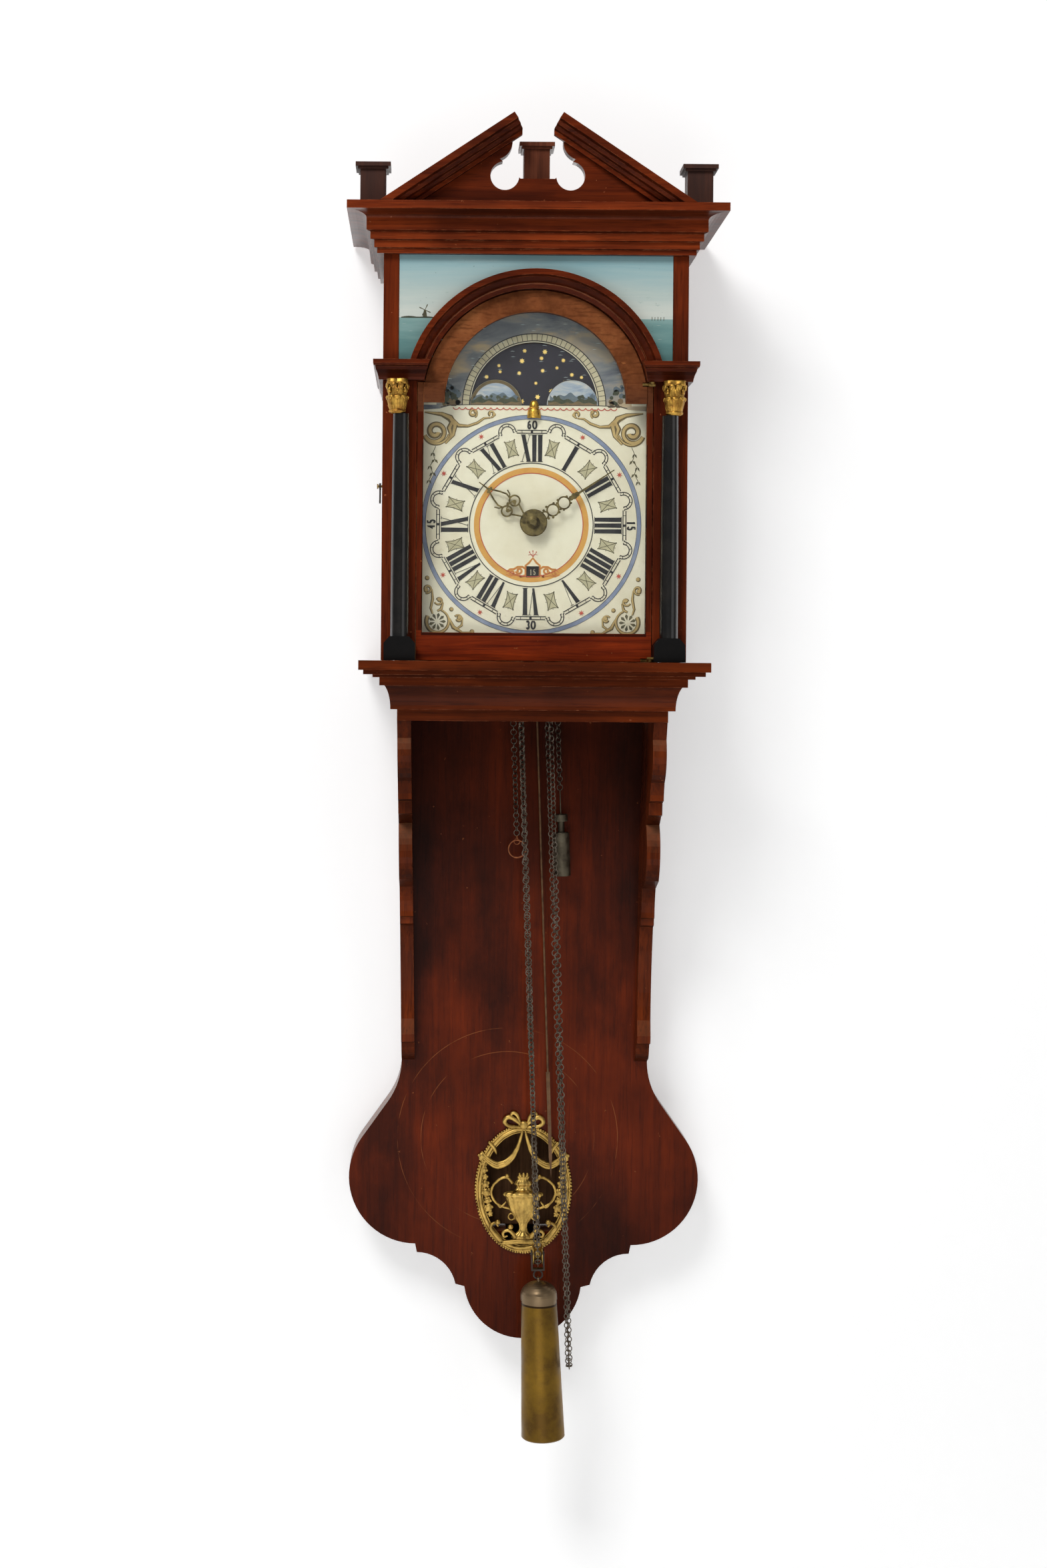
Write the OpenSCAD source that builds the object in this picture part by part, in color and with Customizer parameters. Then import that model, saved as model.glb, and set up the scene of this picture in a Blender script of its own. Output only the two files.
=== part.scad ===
// Dutch wall clock: an arched hood with a broken pediment on a moulded base,
// two scrolled brackets, a lobed tail, and a weight on an endless chain.
// Heights are measured from the top of the base slab and shifted at the end,
// so that the origin is the centre of the hanging eye at the wall.
// +X is right, +Z is up and the dial looks along -Y.

/* [Hood] */
// Width of the hood body
hood_w = 320; // [316:1:340]
// Height of the hood body above the base slab
hood_h = 467; // [462:1:490]
// Depth of the hood body from the wall to its face
hood_d = 184; // [180:1:200]
// Thickness of the hood's side boards
side_t = 10; // [8:0.5:11]
// Thickness of the hood's face board
face_t = 12; // [9:0.5:13]
// Height of the top cornice below its slab
cornice_h = 41; // [38:1:46]
// Thickness of the top cornice slab
cornice_slab_t = 8.5; // [6:0.5:12]
// How far the top cornice slab stands out
cornice_out = 38; // [36:1:44]
// Height of the band moulding that carries the arch
impost_h = 20; // [17:0.5:23]
// How far the band moulding stands out in front
impost_out = 22; // [20:0.5:26]

/* [Arch and door] */
// Height of the centre of the arch
arch_z = 272; // [268:1:276]
// Outer radius of the arch moulding
arch_r = 138; // [136:0.5:140]
// Radius of the door's arched top
door_r = 117.6; // [116:0.2:118.4]
// Width of the door below the arch
door_w = 246.8; // [244:0.2:247.6]
// Radius of the glazed arch
sight_r = 95; // [92:1:97]
// Width of the glazed opening
sight_w = 234; // [228:1:235]
// Width of the door's bottom rail
door_rail = 30; // [26:1:34]
// Thickness of the front door
door_t = 18; // [15:0.5:19]
// Clearance around the doors
door_gap = 0.8; // [0.6:0.1:1.2]
// Radius of the doors' hinge pins
pin_r = 1.25; // [1:0.05:1.5]
// Thickness of the glass panes
glass_t = 2; // [1.5:0.1:2.5]

/* [Columns] */
// Distance of each column from the middle
column_x = 140.5; // [140.5:0.1:141.5]
// Radius of a column at its foot
column_r = 9.8; // [8:0.1:10.4]
// Height of the column base blocks
base_block_h = 25; // [20:0.5:30]
// Width of the column base blocks
base_block_w = 32.6; // [28:0.2:33]
// Height of the capitals
capital_h = 34; // [28:0.5:38]
// Width of the capitals at the top
capital_w = 32.6; // [31:0.2:33]

/* [Pediment] */
// Height of the pediment above the cornice slab
pediment_h = 92; // [84:1:100]
// Half width of the pediment at its foot
pediment_half = 164; // [158:1:170]
// Thickness of the pediment board
pediment_t = 14; // [10:0.5:18]
// Half width of the gap between the raking mouldings
gap_half = 25.5; // [23:0.5:28]
// Radius of the round notches
notch_r = 15; // [13:0.5:16.5]
// Radius of the lobe over each notch
scroll_r = 18.9; // [17:0.1:20]
// Width of a plinth body
plinth_w = 27; // [24:0.5:30]
// Height of a corner plinth
plinth_h = 48; // [42:1:54]

/* [Base] */
// Width of the base below its mouldings
base_w = 285; // [281:1:292]
// Depth of the base from the wall
base_d = 178; // [172:1:184]
// Height of the base from the slab's top to its foot
base_h = 63; // [60:1:68]
// Thickness of the base slab
slab_t = 10; // [8:0.5:12]
// How far the base slab stands out
slab_out = 40; // [38:1:44]
// Thickness of the boards of the base
base_board_t = 14; // [12:0.5:16]
// Thickness of the seat board under the movement
seat_t = 12; // [10:0.5:14]

/* [Tail] */
// Depth of the tail from the wall
tail_d = 45; // [41:1:48]
// Thickness of the tail's front board
tail_board_t = 12; // [9:0.5:14]
// Half width of the tail at its waist
waist_half = 136; // [133:0.5:138]
// Depth of the waist below the base slab
waist_z = 442; // [430:1:455]
// Radius of the two side lobes
lobe_r = 74; // [70:0.5:78]
// Distance of each side lobe's centre from the middle
lobe_x = 119.5; // [117:0.5:123]
// Depth of the side lobes' centres below the base slab
lobe_z = 572; // [566:1:580]
// Radius of the bottom lobe
foot_r = 65; // [62:0.5:68]
// Depth of the bottom lobe's centre below the base slab
foot_z = 685; // [682:1:692]
// Thickness of the backboard
back_t = 9; // [7:0.5:11]
// Half width of the backboard below the slab
back_half = 122; // [116:1:122]
// Thickness of a bracket
bracket_t = 14.5; // [12:0.5:16]
// Half width of the brass ornament
oval_a = 54.5; // [50:0.5:58]
// Half height of the brass ornament
oval_b = 72.5; // [68:0.5:76]

/* [Dial] */
// Height of the dial centre
dial_z = 147; // [144:0.5:149]
// Width of the dial plate
dial_w = 244; // [240:1:250]
// Thickness of the dial plate
dial_t = 2; // [1.5:0.1:2.5]
// Setback of the dial behind the hood's face
dial_back = 30; // [28:0.5:31]
// Radius of the moon opening
moon_r = 67.3; // [64:0.1:69]
// Radius of the two humps that hide the moon
hump_r = 27.7; // [25:0.1:29]
// Length of the hour hand
hour_len = 72; // [66:0.5:78]
// Length of the minute hand
minute_len = 102; // [96:0.5:106]
// Radius of the brass disc over the hands
disc_r = 14.5; // [12:0.5:16]
// Hour hand angle, clockwise from twelve
hour_turn = 306.5; // [0:0.5:359]
// Minute hand angle, clockwise from twelve
minute_turn = 56.4; // [0:0.1:359]

/* [Movement] */
// Half width between the movement's pillars
post_x = 47; // [46:0.5:52]
// Height of the movement's top plate
top_plate_z = 226; // [224:1:240]
// Height of the great wheels' arbors
great_z = 95; // [92:0.5:97]
// Radius of the chain around the going side's chain wheel
going_drum_r = 16.5; // [15.5:0.1:17.5]
// Radius of the chain around the striking side's chain wheel
strike_drum_r = 13.6; // [13:0.1:14.5]
// Radius of the bell
bell_r = 42; // [36:0.5:44]
// Height of the pendulum's suspension
hang_pivot_z = 213; // [211:0.5:216]
// Height of the anchor's arbor
anchor_z = 204; // [203.5:0.1:205]

/* [Hanging parts] */
// Lean of the plumb line against the case, which hangs out of true
hang_lean = 2.2; // [0:0.1:2.6]
// Thickness of the chain wire
wire_d = 1.1; // [0.9:0.05:1.2]
// Mean radius of a chain link
link_r = 3.1; // [2.9:0.05:3.3]
// Depth of the weight's pulley below the base slab
pulley_z = 641; // [600:1:660]
// Radius of the chain around the weight's pulley
pulley_r = 10; // [9:0.1:11]
// Depth of the slack loop's lowest link
loop_z = 762; // [720:1:790]
// Height of the main weight without its cap
weight_h = 149; // [130:1:165]
// Radius of the main weight at its foot
weight_r = 23.5; // [20:0.5:23.5]
// Radius of the chain around the alarm's wheel
alarm_r = 24.5; // [23.5:0.1:25.5]
// Depth of the alarm chain's weighted end below the base slab
alarm_end_z = 140; // [120:1:180]
// Depth of the alarm chain's free end below the base slab
alarm_tail_z = 200; // [180:1:240]
// Height of the alarm weight
alarm_weight_h = 48; // [40:1:56]
// Length of the pendulum below its suspension
pendulum_l = 783; // [760:1:800]

/* [Hidden] */
$fn = 64;

// Where the origin lies, above the base slab
hang_h = 392;
eye_r = 5;

// Colours of the materials
mahogany = [0.42, 0.16, 0.09];
dark_wood = [0.20, 0.10, 0.07];
oak = [0.55, 0.29, 0.14];
ebony = [0.06, 0.055, 0.055];
gilt = [0.72, 0.56, 0.22];
old_brass = [0.45, 0.38, 0.20];
iron = [0.26, 0.25, 0.24];
steel = [0.45, 0.45, 0.46];
cream = [0.86, 0.84, 0.72];
navy = [0.14, 0.13, 0.19];
sea = [0.36, 0.58, 0.62];
pane_tint = [0.75, 0.85, 0.85, 0.3];

// Clearances: a seam between fixed pieces, a running gap, and a running fit on a pin
seam = 0.3;
gap = 0.5;
fit = 0.05;
eps = 1;

// Faces that several pieces share
half_w = hood_w / 2;
face_y = -hood_d;
dial_y = face_y + dial_back;
base_half = base_w / 2;
tail_y = -tail_d;
cornice_z = hood_h - cornice_h;
impost_z = capital_z() + capital_h;
slab_top_z = hood_h + cornice_slab_t;

function capital_z() = 259.5;
function arc_points(cx, cy, r, a0, a1, n) =
    [for (i = [0 : n]) [cx + r * cos(a0 + (a1 - a0) * i / n), cy + r * sin(a0 + (a1 - a0) * i / n)]];
function mirrored(points) = [for (i = [len(points) - 1 : -1 : 0]) [-points[i].x, points[i].y]];
function along(a, b, t) = a + (b - a) * t;

// Moves a piece from slab heights to the hanging eye's frame
module placed() {
    translate([0, 0, -hang_h])
        children();
}

module both_sides() {
    children();
    mirror([1, 0, 0])
        children();
}

// A flat outline in X and Z, extruded from depth y0 to depth y1
module upright(y0, y1) {
    translate([0, y1, 0])
        rotate([90, 0, 0])
            linear_extrude(y1 - y0)
                children();
}

// A block between two corners
module block(a, b) {
    translate(a)
        cube(b - a);
}

// A round bar along Y
module bar_y(x, z, r, y0, y1) {
    translate([x, y1, z])
        rotate([90, 0, 0])
            cylinder(r = r, h = y1 - y0);
}

// A moulding that runs round the front and both sides of a box.
// The profile holds points of [stand-out, height], with the inner edge at or behind 0.
module wrapped_moulding(profile, half, depth) {
    reach = 60;
    intersection() {
        front_run(profile, half + reach, depth);
        block([-half - reach, -depth - reach, -1000], [half + reach, -depth + reach, 1000]);
        union() {
            block([-half, -depth - reach, -1000], [half, -depth + reach, 1000]);
            both_sides()
                side_run(profile, half, depth + reach);
        }
    }
    both_sides()
        side_run(profile, half, depth);
}

module front_run(profile, half, depth) {
    translate([half, -depth, 0])
        rotate([90, 0, -90])
            linear_extrude(2 * half)
                polygon([for (p = profile) [p.x, p.y]]);
}

module side_run(profile, half, depth) {
    translate([half, 0, 0])
        rotate([90, 0, 0])
            linear_extrude(depth)
                polygon(profile);
}

// Half outline of the tail from its top down to the foot, drawn inwards by inset
dive = 54.7;
function diagonal_n() = [sin(dive), cos(dive)];
function tail_half(inset) = let(
        waist = waist_half - inset,
        neck_r = 80 + inset,
        lobe = lobe_r - inset,
        foot = foot_r - inset,
        cove_r = 44 + inset,
        step_z = -lobe_z - lobe_r - 9.5
    )
    concat(
        [[base_half - inset, -base_h - inset]],
        arc_points(waist + neck_r, -waist_z, neck_r, 180, 180 + 90 - dive, 8),
        arc_points(lobe_x, -lobe_z, lobe, 90 - dive, -90, 24),
        [[lobe_x - inset, -lobe_z - lobe]],
        arc_points(lobe_x - 2, step_z - 44, cove_r, 90, 168, 10),
        arc_points(0, -foot_z, foot, -7, -90, 14)
    );

module tail_outline(inset) {
    right = tail_half(inset);
    polygon(concat(right, mirrored(right)));
}

// Case

module backboard() {
    foot = -lobe_z - 60;
    color(dark_wood) placed()
        difference() {
            union() {
                block([-back_half, -back_t, foot], [back_half, 0, eps]);
                block([-half_w + side_t + 2, -back_t, 0], [half_w - side_t - 2, 0, hood_h - 12]);
            }
            bar_y(0, hang_h, eye_r + 4, -back_t - eps, eps);
            upright(-2.5, eps)
                translate([-21.2, hang_h - 16.2])
                    square([42.4, 32.4]);
        }
}

module hanging_plate() {
    color(iron) placed()
        difference() {
            upright(-2.5, 0)
                translate([-21, hang_h - 16])
                    square([42, 32]);
            bar_y(0, hang_h, eye_r, -back_t, eps);
        }
}

module tail_front_board() {
    color(mahogany) placed()
        upright(tail_y, tail_y + tail_board_t)
            difference() {
                tail_outline(0);
                translate([0, -lobe_z - 11.5])
                    ellipse(oval_a - 5, oval_b - 5, 48);
            }
}

module ellipse(a, b, n) {
    polygon([for (i = [0 : n - 1]) [a * cos(360 * i / n), b * sin(360 * i / n)]]);
}

module tail_rim() {
    color(dark_wood) placed()
        upright(tail_y + tail_board_t, 0)
            difference() {
                tail_outline(0);
                translate([-back_half, -lobe_z - 62])
                    square([2 * back_half, lobe_z + 62 - base_h + eps]);
                for (side = [-1, 1])
                    translate([side * lobe_x, -lobe_z])
                        circle(lobe_r - 11);
                translate([0, -foot_z])
                    circle(foot_r - 11);
            }
}

// Side view of a bracket: distance in front of the tail board, height
function bracket_profile() = concat(
    [[0, -base_h], [base_d - tail_d - 4, -base_h]],
    arc_points(base_d - tail_d - 34, -base_h - 38, 30, 40, -62, 8),
    [[base_d - tail_d - 24, -141], [base_d - tail_d - 24, -147], [base_d - tail_d - 36, -150]],
    [[base_d - tail_d - 36, -163], [base_d - tail_d - 46, -165]],
    arc_points(46, -208, 42, 52, -40, 10),
    arc_points(104, -272, 62, 155, 186, 6),
    [[38, -280], [38, -287], [30, -290]],
    arc_points(330, -350, 306, 171, 188, 6),
    [[33, -409], [33, -417], [22, -420]],
    arc_points(6, -425, 14, 0, -76, 6),
    [[0, -waist_z]]
);

module bracket() {
    lean = atan((base_half - waist_half) / (waist_z - base_h));
    color(mahogany) placed()
        intersection() {
            translate([base_half, tail_y, -base_h])
                rotate([0, lean, 0])
                    translate([0, 0, base_h])
                        rotate([90, 0, -90])
                            linear_extrude(bracket_t)
                                polygon(bracket_profile());
            block([0, -base_d, -waist_z], [base_half, tail_y, -base_h]);
        }
}

module left_bracket() {
    mirror([1, 0, 0])
        bracket();
}

module right_bracket() {
    bracket();
}

// The slot that lets chains and pendulum through the seat and the base
slot_x0 = -34;
slot_x1 = 44;
slot_y0 = -134;
slot_y1 = -46;

module base_slab() {
    out = slab_out;
    color(mahogany) placed()
        difference() {
            block([-base_half - out, -base_d - out, -slab_t], [base_half + out, -back_t, 0]);
            block([slot_x0 - 20, slot_y0 - 8, -slab_t - eps], [slot_x1 + 20, slot_y1 + 8, eps]);
        }
}

function base_profile() = concat(
    [[-base_board_t, -base_h], [0, -base_h], [0, -base_h + 12], [7, -base_h + 12]],
    [for (a = [0 : 9 : 63]) [18.5 - (11.5) * cos(a), -base_h + 12 + 28 * sin(a)]],
    [[18.5, -26], [18.5, -slab_t - 7.5], [25.5, -slab_t - 7.5], [25.5, -slab_t - 4.5],
        [35, -slab_t - 4.5], [35, -slab_t], [-base_board_t, -slab_t]]
);

module base_cornice() {
    color(mahogany) placed()
        wrapped_moulding(base_profile(), base_half, base_d);
}

module seat_board() {
    color(dark_wood) placed()
        difference() {
            block([-120, -150, 0], [120, -back_t, seat_t]);
            block([slot_x0, slot_y0, -eps], [slot_x1, slot_y1, seat_t + eps]);
        }
}

// The pierced brass oval with its bow, drapery and urn
module ornament_flat() {
    difference() {
        ellipse(oval_a, oval_b, 64);
        ellipse(oval_a - 8, oval_b - 8, 64);
    }
}

module tail_ornament() {
    color(gilt) placed()
        translate([0, 0, -lobe_z - 11.5]) {
            upright(tail_y - 3, tail_y)
                ornament_flat();
            upright(tail_y - 4.5, tail_y - 2.5)
                difference() {
                    ellipse(oval_a - 2, oval_b - 2, 64);
                    ellipse(oval_a - 5.5, oval_b - 5.5, 64);
                }
            upright(tail_y - 3.5, tail_y)
                both_sides() {
                    swag();
                    handle();
                    bow();
                    foliage();
                }
            urn();
        }
}

module swag() {
    difference() {
        translate([22, 30])
            circle(27);
        translate([23.5, 36])
            circle(26.5);
        translate([-40, 38])
            square([90, 40]);
        translate([-20, -10])
            square([20, 60]);
    }
    polygon([[0, 58], [4, 64], [6, 40], [2.5, 27], [0, 34]]);
}

module handle() {
    translate([22, -2])
        difference() {
            circle(15);
            circle(12.6);
            translate([-30, -12])
                square([24, 20]);
        }
}

module bow() {
    translate([11, 76])
        difference() {
            circle(10);
            translate([1, 0])
                circle(5);
        }
    translate([0, 68])
        circle(8);
}

module foliage() {
    for (a = [-70 : 10 : -20])
        translate([(oval_a - 10) * cos(a), (oval_b - 10) * sin(a)])
            circle(5.2);
}

// The urn's half profile: radius, height below the ornament's centre
module urn() {
    intersection() {
        translate([0, tail_y, -60])
            rotate_extrude()
                polygon([[0, 0], [16, 0], [16, 5], [7, 8], [4, 13], [9, 20], [17, 32], [21, 42],
                    [19, 47], [12, 50], [8, 56], [8, 61], [5, 64], [0, 65]]);
        block([-22, tail_y - 8, -62], [22, tail_y, 10]);
    }
}

// Hood

// The arched opening in X and Z for a half width and an arch radius
module arched(half, r, foot, top) {
    translate([-half, foot])
        square([2 * half, top - foot]);
    translate([0, arch_z])
        circle(r);
}

module hood_front_frame() {
    color(mahogany) placed()
        difference() {
            upright(face_y, face_y + face_t)
                difference() {
                    translate([-half_w, seam])
                        square([hood_w, hood_h - seam]);
                    arched(door_w / 2 + door_gap, door_r + door_gap, -eps, impost_z - seam);
                }
            upright(face_y - eps, face_y + 4)
                translate([-panel_half() - seam, impost_z])
                    square([2 * (panel_half() + seam), cornice_z - impost_z + 3]);
        }
}

function panel_half() = 143.5;

// The door turns on pins set in front of its face, so that it swings clear of the mouldings
door_pin_x = door_w / 2 - 2.4;
door_pin_y = face_y - 13;
door_top_z = impost_z - seam - door_gap;
strap_t = 2.4;
strap_r = 2.8;
strap_zs = [door_gap, door_top_z - strap_t];

module painted_panel() {
    color(sea) placed()
        upright(face_y + 0.6, face_y + 4 - seam)
            difference() {
                translate([-panel_half(), impost_z + seam])
                    square([2 * panel_half(), cornice_z - impost_z]);
                translate([0, arch_z])
                    circle(arch_r - 6);
            }
}

// The sides stand between the face board and the wall
side_y0 = face_y + face_t;
side_y1 = -seam;
side_door_y0 = side_y0 + 16;
side_door_y1 = -18;
side_door_z0 = 22;
side_door_z1 = 284;

module side_board() {
    block([half_w - side_t, side_y0, seam], [half_w, side_y1, hood_h]);
}

module hood_left_side() {
    color(mahogany) placed()
        mirror([1, 0, 0])
            difference() {
                side_board();
                block([half_w - side_t - eps, side_door_y0, side_door_z0], [half_w + eps, side_door_y1, side_door_z1]);
                for (z = [side_door_z0 - 8, side_door_z1 - eps])
                    translate([half_w - side_t / 2, side_pin_y(), z])
                        cylinder(r = pin_r + seam, h = 9);
            }
}

function side_pin_y() = side_door_y1 - door_gap - side_t / 2;

module hood_right_side() {
    color(mahogany) placed()
        difference() {
            side_board();
            block([half_w - side_t - eps, side_door_y0 + 20, side_door_z0 + 20],
                [half_w + eps, side_door_y1 - 20, side_door_z1 - 20]);
            block([half_w - side_t / 2 - glass_t / 2 - 0.2, side_door_y0 + 15, side_door_z0 + 15],
                [half_w - side_t / 2 + glass_t / 2 + 0.2, side_door_y1 - 15, side_door_z1 - 15]);
        }
}

module right_pane() {
    color(pane_tint) placed()
        block([half_w - side_t / 2 - glass_t / 2, side_door_y0 + 15.3, side_door_z0 + 15.3],
            [half_w - side_t / 2 + glass_t / 2, side_door_y1 - 15.3, side_door_z1 - 15.3]);
}

// Section of the arch moulding: radius, stand-out
function arch_profile() = let(r0 = door_r + door_gap, w = arch_r - r0)
    [[r0, 0], [r0, 7], [r0 + 0.22 * w, 9], [r0 + 0.3 * w, 6], [r0 + 0.62 * w, 11], [r0 + 0.7 * w, 15],
        [r0 + w, 15], [r0 + w, 11], [r0 + 0.9 * w, 0]];

// Section of the band moulding: share of the stand-out, share of the height
function impost_profile(out) = [[0, 0], [0.42 * out, 0], [0.46 * out, 0.14 * impost_h],
    [0.56 * out, 0.32 * impost_h], [0.72 * out, 0.5 * impost_h], [0.78 * out, 0.66 * impost_h],
    [0.95 * out, 0.7 * impost_h], [out, 0.8 * impost_h], [out, impost_h], [0, impost_h]];

module arch_moulding() {
    side_out = 10;
    color(mahogany) placed() {
        intersection() {
            translate([0, face_y, arch_z])
                rotate([90, 0, 0])
                    rotate_extrude($fn = 128)
                        polygon(arch_profile());
            block([-arch_r - eps, face_y - 40, impost_z + impost_h], [arch_r + eps, face_y, 1000]);
        }
        both_sides()
            translate([0, 0, impost_z]) {
                difference() {
                    intersection() {
                        translate([0, 0, 0])
                            front_run(impost_profile(impost_out), half_w + side_out, hood_d);
                        union() {
                            block([0, -hood_d - 40, -eps], [half_w, -hood_d, 40]);
                            side_run(impost_profile(side_out), half_w, hood_d + 40);
                        }
                    }
                    translate([0, 0, arch_z - impost_z])
                        bar_y(0, 0, door_r + door_gap, -hood_d - 41, -hood_d + eps);
                }
                side_run(impost_profile(side_out), half_w, hood_d);
            }
    }
}

module columns() {
    foot = base_block_h + seam;
    top = capital_z();
    color(ebony) placed()
        both_sides()
            translate([column_x, column_y(), 0])
                rotate_extrude()
                    polygon(concat(
                        [[0, foot], [column_r, foot]],
                        [for (t = [0 : 0.1 : 1]) [column_r - 1.2 * t * t, along(foot + 6, top - 4, t)]],
                        [[column_r - 1.2, top - 2], [0, top - 2]]
                    ));
}

function column_y() = face_y - column_r - seam;

module capitals() {
    color(gilt) placed()
        both_sides()
            translate([column_x, column_y(), capital_z() - 2 + seam]) {
                intersection() {
                    rotate_extrude()
                        polygon([[0, 0], [column_r + 0.5, 0], [column_r + 1, 3], [column_r - 0.5, 4],
                            [column_r + 1, 14], [column_r + 3.5, 24], [column_r + 1, 27], [0, 27]]);
                    block([-20, -20, -eps], [20, column_r - 0.1, 28]);
                }
                translate([-capital_w / 2, -column_r - 5, 27])
                    cube([capital_w, 2 * column_r + 5, capital_h - 25 - 2 * seam]);
            }
}

module column_bases() {
    color(ebony) placed()
        both_sides()
            translate([column_x, 0, seam])
                upright(face_y - 2 * column_r - 2, face_y - seam)
                    polygon([[-base_block_w / 2, 0], [base_block_w / 2, 0], [base_block_w / 2, base_block_h - 7],
                        [base_block_w / 2 - 6, base_block_h], [-base_block_w / 2 + 6, base_block_h],
                        [-base_block_w / 2, base_block_h - 7]]);
}

function cornice_profile() = concat(
    [[0, 0], [7, 0], [7, 5], [10, 5.5], [10, 13], [14, 13.5], [14, 21]],
    [[18, 22.5], [18, 35]],
    [for (a = [0 : 15 : 90]) [cornice_out - 4 - 16 * cos(a), 35 + (cornice_h - 35) * sin(a)]],
    [[cornice_out - 4, cornice_h], [0, cornice_h]]
);

module top_cornice() {
    out = half_w + cornice_out;
    color(mahogany) placed() {
        translate([0, 0, cornice_z])
            wrapped_moulding(cornice_profile(), half_w, hood_d);
        block([-out, -hood_d - cornice_out, hood_h], [out, -seam, slab_top_z]);
    }
}

// Pediment

slope = atan(pediment_h / (pediment_half - gap_half));
pediment_y = face_y - 14;

// Right-hand edge of the board from its tip down the S-curve to the round notch
function scroll_edge(rise) = concat(
    [[gap_half, rise], [gap_half + 0.6, rise - 5]],
    arc_points(scroll_x, rise - 16.5, scroll_r, 155, 252, 10),
    [[18, notch_z() - 3]]
);

module pediment_board() {
    rise = pediment_h - 9;
    edge = scroll_edge(rise);
    color(mahogany) placed()
        translate([0, 0, slab_top_z])
            upright(pediment_y, pediment_y + pediment_t)
                difference() {
                    polygon(concat(
                        [[-pediment_half + 8, 0], [pediment_half - 8, 0], [gap_half + 4, rise]],
                        edge,
                        [for (i = [len(edge) - 1 : -1 : 0]) [-edge[i].x, edge[i].y]],
                        [[-gap_half - 4, rise]]
                    ));
                    for (side = [-1, 1])
                        translate([side * 34.3, notch_z()])
                            circle(notch_r);
                }
}

function notch_z() = 31;
scroll_x = 45.3;

// Section of a raking moulding: stand-out in front of the board, depth below its top edge
function rake_profile() = [[0, 0], [24, 0], [24, -7], [19, -8.5], [17, -12], [12, -13], [10, -16],
    [6, -17], [6, -21], [0, -21]];

module raking_mouldings() {
    length = (pediment_half - gap_half) / cos(slope);
    color(mahogany) placed()
        both_sides()
            intersection() {
                translate([pediment_half, pediment_y - seam, slab_top_z])
                    rotate([0, slope, 0])
                        translate([0, 0, 0])
                            mirror([1, 0, 0])
                                rotate([90, 0, 90])
                                    mirror([1, 0, 0])
                                        linear_extrude(length)
                                            polygon(rake_profile());
                block([gap_half - 9, -hood_d - 60, slab_top_z], [pediment_half + eps, 0, slab_top_z + 200]);
            }
}

module plinth(x, w, z0, z1) {
    cap = 7;
    y = plinth_y();
    block([x - w / 2, y - w / 2, z0], [x + w / 2, y + w / 2, z1 - cap]);
    block([x - w / 2 - 5, y - w / 2 - 5, z1 - cap + 2.5], [x + w / 2 + 5, y + w / 2 + 5, z1]);
    block([x - w / 2 - 2.5, y - w / 2 - 2.5, z1 - cap], [x + w / 2 + 2.5, y + w / 2 + 2.5, z1 - cap + 2.5]);
}

function plinth_y() = pediment_y + pediment_t + plinth_w / 2 + 6;

module plinths() {
    color(dark_wood) placed() {
        for (side = [-1, 1])
            plinth(side * 172, plinth_w, slab_top_z, slab_top_z + plinth_h);
        plinth(0, plinth_w, slab_top_z, slab_top_z + 70);
    }
}

// Doors

module front_door() {
    color(mahogany) placed()
        difference() {
            union() {
                upright(face_y, face_y + door_t)
                    difference() {
                        arched(door_w / 2, door_r, door_gap, door_top_z);
                        sight(0);
                    }
                both_sides()
                    upright(face_y - 1.5, face_y + eps)
                        translate([sight_r, arch_z - 1])
                            square([sight_w / 2 - sight_r, 21]);
            }
            upright(face_y + 8, face_y + door_t + eps)
                sight(2.4);
            for (z = strap_zs)
                block([door_w / 2 - 11.2, face_y - 2 - eps, z - eps], [door_w / 2 + eps, face_y + 12, z + strap_t + eps]);
        }
}

// The two brass straps let into the door's corners, which reach forward to the pins
module door_straps() {
    color(old_brass) placed()
        for (z = strap_zs)
            difference() {
                union() {
                    block([door_w / 2 - 11.2, face_y - 2, z], [door_w / 2 - 0.4, face_y + 12, z + strap_t]);
                    block([door_pin_x - strap_r, door_pin_y, z], [door_pin_x, face_y, z + strap_t]);
                    translate([door_pin_x, door_pin_y, z])
                        cylinder(r = strap_r, h = strap_t);
                }
                translate([door_pin_x, door_pin_y, z - eps])
                    cylinder(r = pin_r + fit, h = strap_t + 2 * eps);
            }
}

// The glazed opening, grown by a rebate
module sight(grow) {
    translate([-sight_w / 2 - grow, door_rail - grow])
        square([sight_w + 2 * grow, arch_z - door_rail + 2 * grow]);
    translate([0, arch_z])
        circle(sight_r + grow);
}

module front_glass() {
    color(pane_tint) placed()
        upright(face_y + 8 + 0.1, face_y + 8 + glass_t)
            difference() {
                sight(2.2);
            }
}

module hood_pins() {
    plate_x = column_x - base_block_w / 2;
    lower_z = strap_zs[0] + strap_t + seam;
    upper_z = strap_zs[1] - seam - 2;
    color(old_brass) placed() {
        for (z = [lower_z, upper_z]) {
            block([door_pin_x - 3.4, door_pin_y - 3.4, z], [plate_x, door_pin_y + 3.4, z + 2]);
            translate([door_pin_x, door_pin_y, z == lower_z ? strap_zs[0] : z])
                cylinder(r = pin_r, h = strap_t + seam + 1);
        }
        for (z = [side_door_z0 - 6, side_door_z1 - 5])
            translate([-half_w + side_t / 2, side_pin_y(), z])
                cylinder(r = pin_r, h = 11);
        translate([-half_w, hook_y, hook_z])
            rotate([0, -90, 0]) {
                cylinder(r = pin_r, h = 5);
                translate([0, 0, 4.2])
                    cylinder(r = 2.6, h = 1.4);
            }
    }
}

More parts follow.
